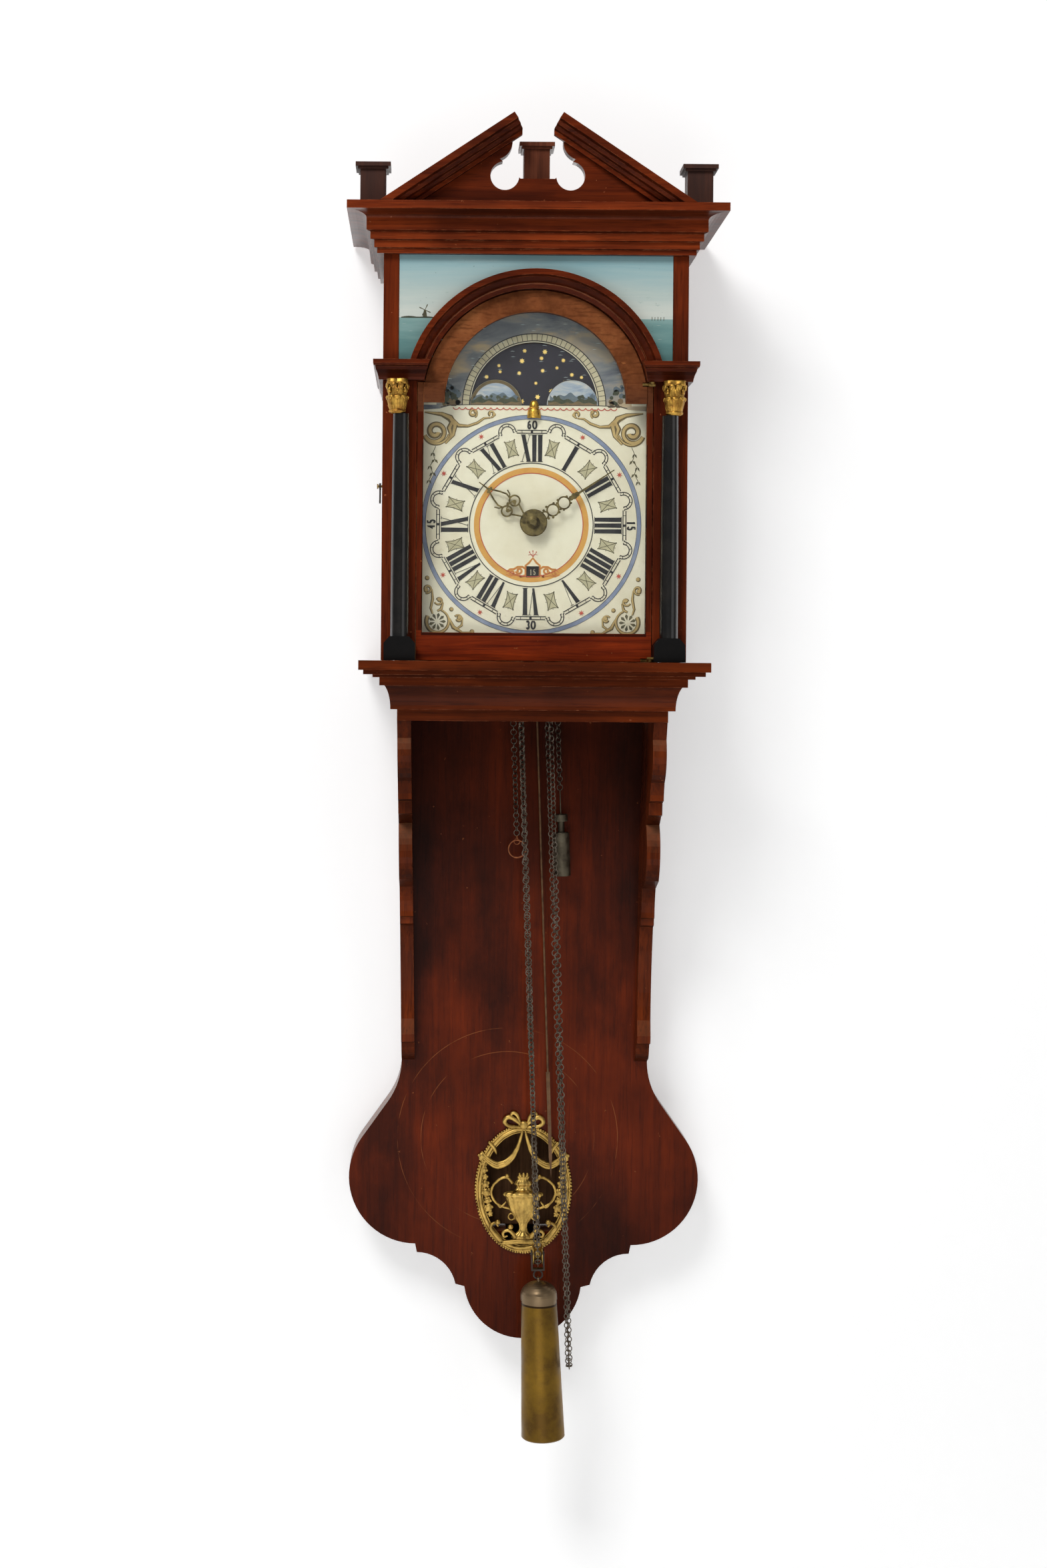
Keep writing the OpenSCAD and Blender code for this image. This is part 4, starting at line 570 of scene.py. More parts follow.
DIGITS = {
    "0": [arc(1, 0, 0, 0, 361, 30)],
    "1": [[(-0.35, 0.55), (0.05, 1), (0.05, -1)], [(-0.35, -1), (0.45, -1)]],
    "2": [arc(0.52, 0, 0.48, -80, 140, 22) + [(-0.55, -0.95), (0.6, -0.95)]],
    "3": [arc(0.5, 0, 0.5, -70, 181, 25), arc(0.52, 0, -0.48, 0, 251, 25)],
    "4": [[(0.3, -1), (0.3, 1), (-0.65, -0.35), (0.65, -0.35)]],
    "5": [[(0.5, 0.95), (-0.4, 0.95), (-0.45, 0.1)], arc(0.56, -0.02, -0.42, -50, 251, 25)],
    "6": [arc(0.55, 0, -0.43, 0, 361, 30), [(-0.52, -0.3), (-0.35, 0.6), (0.35, 1)]],
    "7": [[(-0.55, 0.95), (0.55, 0.95), (-0.15, -1)]],
    "8": [arc(0.44, 0, 0.52, 0, 361, 30), arc(0.54, 0, -0.44, 0, 361, 30)],
    "9": [arc(0.55, 0, 0.43, 0, 361, 30), [(0.52, 0.3), (0.35, -0.6), (-0.35, -1)]],
}


def figures(layer, text, height, width, stroke):
    """Plain figures around the transform's own origin."""
    for i, digit in enumerate(text):
        x0 = (i - (len(text) - 1) / 2) * width * 1.25
        for run in DIGITS[digit]:
            squeeze = width / 2 * (0.85 if digit == "0" else 1)
            layer.band([(x0 + x * squeeze, z * height / 2) for x, z in run], stroke)


NUMERALS = ["XII", "I", "II", "III", "IIII", "V", "VI", "VII", "VIII", "IX", "X", "XI"]
LETTER_W = {"I": 6.2, "V": 11.8, "X": 11.4}
RING_X, RING_Z = -2.0, 145.2
NUMERAL_FOOT, NUMERAL_TOP = 67.2, 95.6
STROKE_HALF, HAIRLINE, SERIF = 2.05, 0.55, 0.6
TRACK_IN, TRACK_OUT, TRACK_W = 97.3, 100.4, 0.95
BULGE_AT, BULGE_OUT, BULGE_IN = 101.2, 9.2, 6.3
MARK_R = 83.5


def numeral(layer, hour):
    """A Roman numeral whose foot points to the middle: thick strokes, hairlines and long thin serifs."""
    layer.at(RING_X, RING_Z, hour * 30)
    x = -sum(LETTER_W[c] for c in NUMERALS[hour]) / 2
    foot, top, half = NUMERAL_FOOT, NUMERAL_TOP, STROKE_HALF
    for c in NUMERALS[hour]:
        w = LETTER_W[c]
        mid = x + w / 2
        if c == "I":
            layer.poly([(mid - half, foot), (mid + half, foot), (mid + half * 1.15, top), (mid - half * 1.15, top)])
            ends = [(mid, foot, 5.8), (mid, top, 6.2)]
        elif c == "V":
            layer.poly([(x + 0.8, top), (x + 5.4, top), (mid + 1.6, foot), (mid - 0.7, foot)])
            layer.band([(mid + 0.6, foot), (x + w - 1.6, top)], HAIRLINE)
            ends = [(x + 3.1, top, 6.0), (x + w - 1.6, top, 3.8)]
        else:
            layer.poly([(x + 0.6, top), (x + 4.9, top), (x + w - 0.6, foot), (x + w - 4.8, foot)])
            layer.band([(x + 1.6, foot), (x + w - 1.8, top)], HAIRLINE)
            ends = [(x + 2.7, top, 5.6), (x + w - 1.8, top, 3.6), (x + 1.6, foot, 3.6), (x + w - 2.7, foot, 5.6)]
        for at, z, length in ends:
            layer.band([(at - length / 2, z), (at + length / 2, z)], SERIF)
        x += w


def minute_track(layer):
    """The double line: a straight chord at each hour and a half round bulge at each half hour."""
    for hour in range(12):
        layer.at(RING_X, RING_Z, hour * 30)
        for v, u in ((TRACK_IN, 16.2), (TRACK_OUT, 15.6)):
            layer.band([(-u, v), (u, v)], TRACK_W)
        layer.poly([(-1.2, TRACK_IN), (1.2, TRACK_IN), (1.2, TRACK_OUT), (-1.2, TRACK_OUT)])
        for side in (-1, 1):
            layer.band([(side * 10.4, TRACK_IN), (side * 10.6, TRACK_OUT)], 0.6)
        layer.at(RING_X, RING_Z, hour * 30 + 15)
        for r, cut in ((BULGE_OUT, 99), (BULGE_IN, 104)):
            layer.ring(0, BULGE_AT, r, TRACK_W, -cut, cut, 12)
            for side in (-1, 1):
                x, z = polar(side * cut, r, 0, BULGE_AT)
                layer.band([(x, z), (x + side * 1.4, z - 0.1)], TRACK_W)
        for a in (-78, -26, 26, 78):
            layer.band([polar(a, BULGE_IN, 0, BULGE_AT), polar(a, BULGE_OUT, 0, BULGE_AT)], 0.6)


def half_hour_marks(fill, line):
    """A rectangle with hollow sides and a cross at each half hour."""
    corners = [(-5.3, -8.4), (5.3, -8.4), (5.3, 8.4), (-5.3, 8.4)]
    waist = [(0, -7.5), (4.3, 0), (0, 7.5), (-4.3, 0)]
    outline = [(x, z + MARK_R) for pair in zip(corners, waist) for x, z in pair]
    for hour in range(12):
        for layer in (fill, line):
            layer.at(RING_X, RING_Z, hour * 30 + 15)
        fill.poly(outline)
        line.band(outline + outline[:1], 0.7)
        for sign in (-1, 1):
            line.band([(-4.8 * sign, -7.8 + MARK_R), (4.8 * sign, 7.8 + MARK_R)], 0.55)
        for x, z in corners:
            line.dot(x * 1.02, z * 1.02 + MARK_R, 0.8, 6)
        for x, z in waist:
            line.dot(x * 1.25, z * 1.16 + MARK_R, 0.5, 6)


def corner_scrolls(shade, light, leaf):
    """Scrolls, shells and twigs of the common kind in the four corners; each stroke has a paler one on it."""
    curls = [
        (-104.5, 243.5, 12.2, 3.0, 250, -250, 2.4, 3.4), (-104.5, 243.5, 12.2, 14.5, 250, 100, 2.4, 1.0),
        (-65.0, 263.2, 4.8, 1.6, 150, -250, 1.1, 1.8), (-45.6, 262.6, 3.6, 1.6, 180, -150, 1.0, 1.6),
        (-101.0, 42.0, 12.5, 11.5, 20, 300, 1.2, 2.4), (-112.0, 76.5, 5.0, 1.6, 200, -120, 1.0, 2.0),
        (-99.5, 64.0, 4.6, 1.5, 250, -60, 1.0, 1.9), (-78.5, 45.0, 4.4, 1.4, -60, 250, 1.0, 1.9),
    ]
    runs = [
        ([(-94, 231), (-86, 240), (-84, 250), (-89, 258), (-98, 262), (-116, 264)], [1.2, 2.2, 3.2, 3.6, 2.4, 0.8]),
        ([(-88, 257), (-80, 250), (-70, 249.5), (-60, 253), (-53, 258), (-46, 258.6)], [2.6, 2.2, 1.5, 1.5, 1.2, 0.8]),
        ([(-86, 256), (-90, 247), (-88, 240), (-92, 234)], [2.2, 2.8, 1.8, 0.8]),
        ([(-107, 76), (-106, 66), (-108, 56), (-106, 50)], [1, 1.6, 1.4, 1.0]),
        ([(-95, 62), (-97, 55), (-101, 53)], [1, 1.8, 1.2]),
        ([(-88.5, 45), (-84, 36), (-74, 30), (-62, 31)], [1.4, 2.2, 1.4, 0.6]),
        ([(-74.2, 46), (-75, 38), (-82, 33)], [0.8, 1.4, 1]),
    ]
    buds = [(-62, 265, 1.6), (-42.5, 262, 1.5), (-113, 75, 1.9), (-99, 65, 1.7), (-78, 46, 1.7), (-86, 55, 1.7),
            (-64, 31.5, 1.8), (-112, 88, 1.8)]
    twig = [(-104, 228), (-107, 221), (-105, 214), (-110, 207), (-107, 200), (-111, 192)]
    fan = (-101, 42)
    for side in (-1, 1):
        for layer, k, dx in ((shade, 2.1, 0), (light, 1.05, 0.4)):
            layer.at(0, 0, flip=-side)
            for x, z, r0, r1, a0, a1, w0, w1 in curls:
                layer.curl(x + dx, z + dx, r0, r1, a0, a1, w0 * k, w1 * k)
            for points, widths in runs:
                layer.band([(x + dx, z + dx) for x, z in points], [w * k for w in widths])
            for x, z, r in buds:
                layer.dot(x + dx, z + dx, r * sqrt(k))
        leaf.at(0, 0, flip=-side)
        for i in range(9):
            a = -70 + i * 40
            root, (x, z), tip = [polar(a, r, *fan) for r in (2.4, 7.2, 9.4)]
            dx, dz = polar(a + 90, 1.7)
            leaf.poly([root, (x + dx, z + dz), tip, (x - dx, z - dz)])
        leaf.band(twig, 0.7)
        for i, (x, z) in enumerate(twig[1:]):
            for turn in (-1, 1):
                dx = turn * (2.6 + i % 2)
                leaf.poly([(x, z), (x + dx * 0.7, z - 0.6), (x + dx, z - 4.2), (x + dx * 0.2, z - 2.4)])


ARCH_Z, ARCH_R, MOON_R, SCALE_R = 272, 103.5, 67.3, 76.2
HUMP_X = 40.6
SCALE_CELLS = 43


def moon_arch(dial_front):
    """The scale over the moon, the sky outside it and the land on the two humps."""
    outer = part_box("dial_plate")[1][0] / MM - 0.3
    heavens = Paint()
    inner_run, outer_run = [arc(r, 0, ARCH_Z, -90, 91, 5) for r in (SCALE_R, ARCH_R)]
    for a, b, c, d in zip(inner_run, outer_run, outer_run[1:], inner_run[1:]):
        heavens.poly([a, b, c, d])
    for side in (-1, 1):
        heavens.at(0, 0, flip=side)
        heavens.poly([(SCALE_R, ARCH_Z), (outer, ARCH_Z), (outer, 266.5), (100, 268), (90, 271)])
    heavens.make("painted_sky", "sky_paint", dial_front - 0.05, "case")
    for material, low, high, count in (("far_paint", 8, 26, 60), ("mid_paint", 2, 17, 90), ("near_paint", 0, 5, 40)):
        bank = Paint()
        for _ in range(count):
            x, z = rng.uniform(79.5, 96), rng.uniform(low, high)
            r = rng.uniform(1.6, 3.4)
            z = min(z, 26 - (96 - x) * 0.9)
            if z > 0 and hypot(x, z) > SCALE_R + r + 0.6:
                bank.at(0, 0, flip=rng.choice((-1, 1))).dot(x, ARCH_Z + z, r, 7)
        bank.make("arch_bank_" + material, material, dial_front - 0.055, "case")
    scale, ticks = Paint(), Paint()
    scale.ring(0, ARCH_Z, (MOON_R + SCALE_R) / 2 + 0.2, SCALE_R - MOON_R - 0.6, -90, 90)
    for r in (68.6, SCALE_R):
        ticks.ring(0, ARCH_Z, r, 1.0, -90, 90)
    for i in range(1, SCALE_CELLS):
        a = -90 + 180 / SCALE_CELLS * i
        ticks.band([polar(a, 69.2, 0, ARCH_Z), polar(a, SCALE_R, 0, ARCH_Z)], 0.6)
    for side in (-1, 1):
        ticks.ring(side * HUMP_X, ARCH_Z, 27.4, 0.7, -90, 90)
    ticks.band([(-99, 269.5), (-90, 271.6), (-70, 272.2), (70, 272.2), (90, 271.6), (99, 269.5)], 0.8)
    scale.make("moon_scale", "scale_paint", dial_front - 0.09, "case")
    ticks.make("moon_scale_lines", "ink", dial_front - 0.15, "case")
    for name, side in (("left", -1), ("right", 1)):
        hump_land(name, side, dial_front)
    rim = Paint()
    rim.ring(-HUMP_X, ARCH_Z, 25.2, 3.4, -90, 90)
    rim.make("hump_band", "scroll_shade", dial_front - 0.1, "case")


def hump_land(name, side, dial_front):
    """One hump: its sky, and three tree lines of which the middle one has round tops."""
    x0 = side * HUMP_X
    air = Paint()
    air.poly(arc(26.9, x0, ARCH_Z, -90, 91, 6))
    air.make("hump_sky_" + name, "hump_paint", dial_front - 0.06, "case")
    lines = ((11, 1.6, "far_paint"), (6.5, 1.4, "mid_paint"), (3.2, 0.8, "near_paint"))
    for depth, (height, rough, material) in enumerate(lines):
        land = Paint()
        for i in range(26):
            x = x0 - 26 + i * 2
            reach = sqrt(max(26.6 ** 2 - (abs(x + 1 - x0) + 1) ** 2, 0))
            a, b = [ARCH_Z + min(height + rough * sin(0.21 * u * side + depth * 2.2)
                                 + rough * sin(0.53 * u + depth), reach) for u in (x, x + 2)]
            land.poly([(x, ARCH_Z + 0.4), (x, a), (x + 2, b), (x + 2, ARCH_Z + 0.4)])
        for _ in range(9 if depth == 1 else 0):
            x = x0 + rng.uniform(-19, 19)
            r = rng.uniform(1.0, 2.1)
            land.dot(x, ARCH_Z + 7.2 + r + rng.uniform(-1, 1), r, 8)
            land.band([(x, ARCH_Z + 4), (x, ARCH_Z + 7.5)], 0.5)
        land.make("hump_land_%s_%d" % (name, depth), material, dial_front - 0.12 - 0.06 * depth, "case")


DISC_Z, FULL_MOON_X = 266, 42


def moon_face():
    """The night sky on the turning disc: gilt stars, and two plain full moons that the humps hide at rest."""
    disc_front = front("moon_disc")
    stars, moons = Paint(), Paint()
    for ring_r, count, phase in ((16, 6, 10), (29, 9, 0), (42, 12, 13), (54, 17, 4), (64, 16, 9)):
        for i in range(count):
            a = phase + 360 * i / count + rng.uniform(-5, 5)
            x, z = polar(a, ring_r + rng.uniform(-3, 3), 0, DISC_Z)
            if hypot(abs(x) - FULL_MOON_X, z - DISC_Z) > 20:
                stars.star(x, z, rng.choice((2.1, 2.5, 3.0)), rng.choice((6, 7, 8)), 0.55, rng.uniform(0, 40))
    stars.make("moon_stars", "star_gold", disc_front - 0.04, "moon")
    for x in (-FULL_MOON_X, FULL_MOON_X):
        moons.dot(x, DISC_Z, 17, 40)
    moons.make("full_moons", "scale_paint", disc_front - 0.04, "moon")


DATE_Z, DATE_R, DATE_AT_REST = 147, 51.6, 15


def date_figures():
    """The days of the month around the hidden ring; the one in the window stands upright."""
    days = Paint()
    for day in range(1, 32):
        turn = (day - DATE_AT_REST) * 360 / 31
        days.at(*polar(180 + turn, DATE_R, 0, DATE_Z), turn=turn)
        figures(days, str(day), 5.6, 3.0, 0.75)
    days.make("date_figures", "scale_paint", front("date_ring") - 0.05, "date")


def date_scroll(orange, red, black):
    """The scroll work round the date opening, with three buds over it and a black line in it."""
    window_z = DATE_Z - 51.5
    for layer, w in ((orange, 2.4), (red, 0.5)):
        layer.at(0, window_z)
        layer.band([(-7.6, -5.4), (-7.6, 6.5), (-4, 9.5), (0, 14.5), (4, 9.5), (7.6, 6.5), (7.6, -5.4)], w)
        for side in (-1, 1):
            layer.at(0, window_z, flip=side)
            layer.curl(14.5, 1.0, 3.6, 1.1, 100, 520, w, w, 15)
            layer.curl(22.4, -1.0, 2.9, 0.9, 100, 520, w, w, 15)
            layer.band([(7.8, -3.8), (12, -5.4), (18, -4.2), (24, -4.8), (28.5, -2.6)], w)
            layer.band([(7.8, 3), (11, 5.2), (16, 5), (20, 2.6), (24, 2.4), (28, -0.8)], w)
    red.at(0, window_z)
    for x in (-3.6, 0, 3.6):
        red.band([(0, 15.5), (x, 21.5 - abs(x) * 0.3)], 0.5)
        red.dot(x, 22 - abs(x) * 0.3, 0.7, 6)
    red.band([(-5, 17.8), (-1.5, 18.6), (0, 16.5), (1.5, 18.6), (5, 17.8)], 0.5)
    black.at(0, window_z).band([(-6.8, -5.7), (6.8, -5.7), (6.8, 5.7), (-6.8, 5.7), (-6.8, -5.7)], 0.5)


QUARTERS = ("60", "15", "30", "45")


def painted_dial():
    dial_front = front("dial_plate")
    black, blue, orange, red, grey, olive, shade, light = [Paint() for _ in range(8)]
    for hour in range(12):
        numeral(black, hour)
        red.at(RING_X, RING_Z)
        if hour % 3:
            red.star(*polar(hour * 30, 107.6), 3.5, 7, 0.36)
        else:
            upright = (0, 90, 0, -90)[hour // 3]
            black.at(*polar(hour * 30, 106.2, RING_X, RING_Z), turn=upright)
            figures(black, QUARTERS[hour // 3], 8.0, 4.6, 1.95)
    minute_track(black)
    black.at(0, 0).ring(RING_X, RING_Z, 65.6, 0.9)
    blue.ring(RING_X, RING_Z, 114.4, 4.2)
    for r in (112.2, 116.6):
        black.ring(RING_X, RING_Z, r, 0.35)
    orange.ring(RING_X, RING_Z, 58.1, 5.6)
    red.at(0, 0).ring(RING_X, RING_Z, 54.9, 0.8)
    half_hour_marks(grey, olive)
    corner_scrolls(shade, light, olive)
    for i in range(26):
        red.at(0, 0).ring(-86 + i * 6.7 + 3.3, 270.6, 3.5, 0.95, 110, 250, 20)
    date_scroll(orange, red, black)
    layers = (("dial_blue", blue, "dial_blue"), ("dial_orange", orange, "dial_orange"),
              ("dial_marks", grey, "mark_grey"), ("dial_scroll_shade", shade, "scroll_shade"),
              ("dial_scroll_light", light, "scroll_light"), ("dial_leaves", olive, "olive_line"),
              ("dial_red", red, "dial_red"), ("dial_numerals", black, "ink"))
    for i, (name, layer, material) in enumerate(layers):
        layer.make(name, material, dial_front - 0.05 * (i + 1), "case")
    moon_arch(dial_front)
    moon_face()
    date_figures()


# ---------------------------------------------------------------- built forms


def smooth_run(points, steps=5):
    """Catmull-Rom points through the given ones; each point may carry more numbers, such as a width."""
    out = []
    for i in range(len(points) - 1):
        p = [points[max(i - 1, 0)], points[i], points[i + 1], points[min(i + 2, len(points) - 1)]]
        for k in range(steps):
            t = k / steps
            out.append(tuple(0.5 * (2 * b + (c - a) * t + (2 * a - 5 * b + 4 * c - d) * t * t
                                    + (3 * b - a - 3 * c + d) * t ** 3) for a, b, c, d in zip(*p)))
    return out + [tuple(points[-1])]


class Form:
    """A mesh gathered from swept, turned and rounded forms, in millimetres."""

    def __init__(self):
        self.verts, self.faces = [], []

    def grid(self, rows, closed=True):
        """Joins rows of equally many points; closed rows run round, and both of their ends are capped."""
        start, n = len(self.verts), len(rows[0])
        for row in rows:
            self.verts += [tuple(p) for p in row]
        for j in range(len(rows) - 1):
            for i in range(n if closed else n - 1):
                a, b = start + j * n + i, start + j * n + (i + 1) % n
                self.faces.append((a, b, b + n, a + n))
        if closed:
            last = start + (len(rows) - 1) * n
            self.faces += [tuple(range(start + n - 1, start - 1, -1)), tuple(range(last, last + n))]

    def sweep(self, points, radii, flat=1.0, side=None, sides=10, steps=5):
        """A rod along 3-D points; flat widens it along side, a fixed direction across it."""
        if not isinstance(radii, (list, tuple)):
            radii = [radii] * len(points)
        run = smooth_run([tuple(p) + (r,) for p, r in zip(points, radii)], steps)
        rows = []
        for i, q in enumerate(run):
            a, b = Vector(run[max(i - 1, 0)][:3]), Vector(run[min(i + 1, len(run) - 1)][:3])
            along = (b - a).normalized()
            across = Vector(side or ((0, 1, 0) if abs(along.y) < 0.9 else (1, 0, 0)))
            across = (across - along * across.dot(along)).normalized()
            up = along.cross(across)
            rows.append([Vector(q[:3]) + (across * cos(t) * flat + up * sin(t)) * max(q[3], 0.02)
                         for t in round_steps(sides)])
        self.grid(rows)

    def lathe(self, profile, x, y, z, sides=32, ripple=0.0, count=0, steps=4, spread=(0, 360), deep=1.0):
        """Turns (radius, height) points; ripple gives count lobes round it, and deep squeezes it along Y."""
        start, turned = spread[0], spread[1] - spread[0]
        full = turned >= 360
        rows = []
        for r, h in smooth_run(profile, steps):
            row = []
            for k in range(sides if full else sides + 1):
                t = radians(start + turned * k / sides)
                q = max(r, 0.01) * (1 + ripple * cos(count * t))
                row.append((x + q * cos(t), y + q * sin(t) * deep, z + h))
            rows.append(row)
        self.grid(rows, full)

    def ball(self, x, y, z, r, deep=1.0, tall=1.0, sides=12):
        self.grid([[(x + r * sin(a) * cos(t), y + r * deep * sin(a) * sin(t),
                     z - r * tall * cos(a)) for t in round_steps(sides)]
                   for a in [pi * j / 8 for j in range(1, 8)]])

    def rough(self, amount, scale):
        """Moves every point a little, for cast or carved work."""
        for i, p in enumerate(self.verts):
            self.verts[i] = tuple(Vector(p) + noise.noise_vector(Vector(p) * scale) * amount)

    def make(self, name, material, body, *replaced):
        made = new_object(name, [place(*p) for p in self.verts], self.faces, material, True)
        bm = bmesh.new()
        bm.from_mesh(made.data)
        bmesh.ops.recalc_face_normals(bm, faces=bm.faces)
        bm.to_mesh(made.data)
        bm.free()
        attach(made, body)
        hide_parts(*replaced)


CAPITAL_REACH, CAPITAL_H = 17, 34    # the size that the leaves' numbers are drawn for


def carved_capitals():
    """Gilt leaf capitals: a bell, two rows of curled leaves, scrolls under a thick top slab, and a bead ring."""
    (_, y0, z0), (x1, y1, z1) = in_mm(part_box("capitals"))
    height, y, reach = z1 - z0, (y0 + y1) / 2, (y1 - y0) / 2
    k = reach / CAPITAL_REACH
    form = Form()
    for side in (-1, 1):
        x = side * (x1 - reach)
        form.lathe([(10 * k, 0), (10 * k, 4), (9.4 * k, 6), (9.8 * k, height * 0.5), (12.6 * k, height - 6),
                    (14 * k, height - 4)], x, y, z0, 24)
        form.lathe([(11 * k, 0.6), (12.2 * k, 1.8), (12.2 * k, 2.8), (11 * k, 4)], x, y, z0, 28, 0.03, 14)
        for tier, (foot, rise, out, wide) in enumerate(
                ((3.5, height * 0.42, 14.2, 4.6), (8, height * 0.68, 15.2, 3.9))):
            for i in range(8):
                a = radians(45 * i + 22.5 * tier)
                o, t = Vector((cos(a), sin(a), 0)), (-sin(a), cos(a), 0)
                path = [(9.6, foot), (11, foot + rise * 0.35), (12.4, foot + rise * 0.7), (out, foot + rise * 0.94),
                        (out + 1.2, foot + rise * 0.86), (out + 0.9, foot + rise * 0.72)]
                spots = [Vector((x, y, z0 + h)) + o * r * k for r, h in path]
                form.sweep(spots, [1.1, 1.5, 1.5, 1.3, 1.1, 0.5], wide / 1.5, t, 10, 4)
                form.sweep([p + o * 1.1 for p in spots[:4]], [0.3, 0.8, 0.8, 0.5], 1, t, 6, 4)
        for i in range(8):
            a = radians(45 * i)
            o, t = Vector((cos(a), sin(a), 0)), (-sin(a), cos(a), 0)
            far = 17.2 if i % 2 else 14
            turns = [(9.5, 12), (11, 20), (far - 3.2, 25.5)] + [
                (far - 2.6 + 2.4 * cos(b) * (1 - c), 22.6 + 2.4 * sin(b) * (1 - c))
                for b, c in [(radians(100 - 40 * j), j * 0.07) for j in range(11)]]
            form.sweep([Vector((x, y, z0 + h * height / CAPITAL_H)) + o * r * k for r, h in turns],
                       [1.2] * 3 + [1.35 - 0.06 * j for j in range(11)], 1.5, t, 8, 3)
        top = []
        for drop, grow in ((5.4, 0.5), (4.6, 1.6), (2.6, 1.6), (2.0, 0.6), (0.1, 2.2)):
            row = []
            for a in round_steps(48):
                square = 1 / max(abs(cos(a)), abs(sin(a)))
                r = (14.2 * k + grow * 0.5) * min(square, 1.27) * (1 - 0.07 * cos(4 * a) ** 2)
                row.append((min(max(x + r * cos(a), x - reach), x + reach),
                            min(max(y + r * sin(a), y0), y1), z0 + (height - drop)))
            top.append(row)
        form.grid(top)
    form.rough(0.45, 0.35)
    form.make("carved_capitals", "gilding", "hood", "capitals")


OVAL_HALF_H = 72.0
HUSKS = ((46, 36, 4.2), (44.5, 28, 3.0), (43.5, 21, 3.6), (42.5, 13, 3.0), (42, 5, 4.0), (41, -4, 4.8),
         (39.5, -13, 3.8), (38, -21, 4.2), (36.5, -28, 2.6))
URN = [(6, -56), (12, -55), (11, -51.5), (6, -48), (4.2, -44), (4.8, -39), (8, -34.5), (12.5, -28), (16, -20),
       (17.6, -14), (18.4, -10), (21.2, -7.6), (20.8, -4.8), (15.5, -2.8), (9.4, -1), (7, 1.6), (8.4, 3.8), (9.4, 5.2),
       (8, 8), (5.4, 10.4), (6.6, 12.6), (4.6, 15), (0.1, 16)]


def cast_ornament():
    """The pierced brass oval: beaded rim, bow, drapery, husks, urn with handles, and scrolled foot."""
    (x0, _, z0), (x1, y1, _) = in_mm(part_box("tail_ornament"))
    a, b, mid_z = (x1 - x0) / 2, OVAL_HALF_H, z0 + OVAL_HALF_H
    form = Form()

    def at(x, z, out=2.0):
        return (x, y1 - out, mid_z + z)

    def rod(points, radii, flat=1.0, sides=10, steps=5, s=1):
        form.sweep([at(s * x, z, out) for x, z, out in points], radii, flat, None, sides, steps)

    for inset, radius, out, flat in ((3.2, 1.5, 1.6, 1.0), (6.2, 2.2, 2.0, 0.8), (9.0, 1.0, 1.4, 1.0)):
        rod([((a - inset) * cos(t), (b - inset) * sin(t), out)
             for t in round_steps(48) + [2 * pi]], radius, flat, 8, 2)
    for t in round_steps(120):
        form.ball(*at((a - 1.7) * cos(t), (b - 1.7) * sin(t), 2.2), 1.5, sides=6)
    for s in (-1, 1):
        for sag, lift in ((0, 0), (2.4, -2.2), (-2.2, 2.0)):
            rod([(1.5, 64 + lift * 0.3, 3), (6.5, 47 - sag, 3.4), (15, 33 - sag, 3.8), (28, 26.5 - sag, 3.6),
                 (39, 31.5 - sag, 3), (46.5, 39 - sag, 2.4)], [1.1, 1.5, 1.8, 1.9, 1.6, 1.1], 1, 8, s=s)
        rod([(39, 52, 2), (33, 46, 2.4), (30, 38, 2), (32, 47, 2)], [1.8, 2.4, 0.6, 0.6], 1.2, s=s)
        for j, (x, z, r) in enumerate(HUSKS):
            form.ball(*at(s * x, z, 2), r, 0.6, 1.1)
            for petal in range(5):
                px, pz = polar(72 * petal + 20 * j, r * 0.85)
                form.ball(*at(s * (x + px), z + pz, 2.6), r * 0.42, 0.7, sides=8)
        rod([(2, 70, 3.4), (9, 76.5, 4), (17, 80, 4), (21.5, 75, 3.6), (17, 70, 3.2), (9, 69, 3), (3, 68, 3)],
            [1.6, 2.4, 2.8, 2.6, 2.2, 1.9, 1.4], 0.9, s=s)
        rod([(4, 73, 4), (8, 82.5, 4), (13, 84, 4), (15, 78, 3.6)], [1.2, 2.2, 2.0, 1.0], 0.9, s=s)
        rod([(12, 6, 2.6), (17.5, 12.5, 3), (24, 12, 3), (33, 4.5, 2.6), (35.5, -5, 2.4), (31, -14.5, 2.6),
             (23, -19.5, 2.8), (15, -22, 2.8)], [1.5, 1.9, 1.6, 1.5, 1.5, 1.5, 1.4, 1.2], 0.9, s=s)
        form.ball(*at(s * 18, 14.5, 3.4), 2.6)
        rod([(30, -15, 2.6), (25, -20, 2.8), (19, -14, 2.8)], [1.0, 1.6, 0.8], s=s)
        rod([(13 + 3.4 * cos(t), -30.5 + 3.4 * sin(t), 3) for t in round_steps(10) + [2 * pi]],
            1.1, 1, 6, 3, s)
        rod([(8, -54, 2.6), (15, -46, 3), (22, -48, 3), (21, -53, 2.8), (17, -52, 2.8)], [2.4, 2.2, 1.8, 1.4, 0.9], s=s)
        rod([(24, -58, 2), (31, -50, 2.6), (36, -42, 2.6), (31, -37.5, 2.6), (27.5, -42, 2.4)],
            [3.2, 2.8, 2.2, 1.6, 1.0], s=s)
        form.ball(*at(s * 14, -42, 3), 3.0)
        form.ball(*at(s * 28, -36.5, 3), 3.2)
    rod([(-24, -60, 2.2), (0, -58, 3.2), (24, -60, 2.2)], [2.4, 3.2, 2.4], 0.8)
    form.ball(*at(0, 71, 3.4), 5.2, 0.7)
    form.lathe(URN, 0, y1 - 0.6, mid_z, 60, 0.045, 12, 4, (180, 360), 0.42)
    for i in (-1, 0, 1):
        rod([(i * 3, 13.5, 4), (i * 4.2, 16.5, 4.2), (i * 4, 18.4, 3.6)], [1.4, 1.5, 0.6])
    form.rough(0.3, 0.45)
    form.make("cast_ornament", "ornament_brass", "case", "tail_ornament")


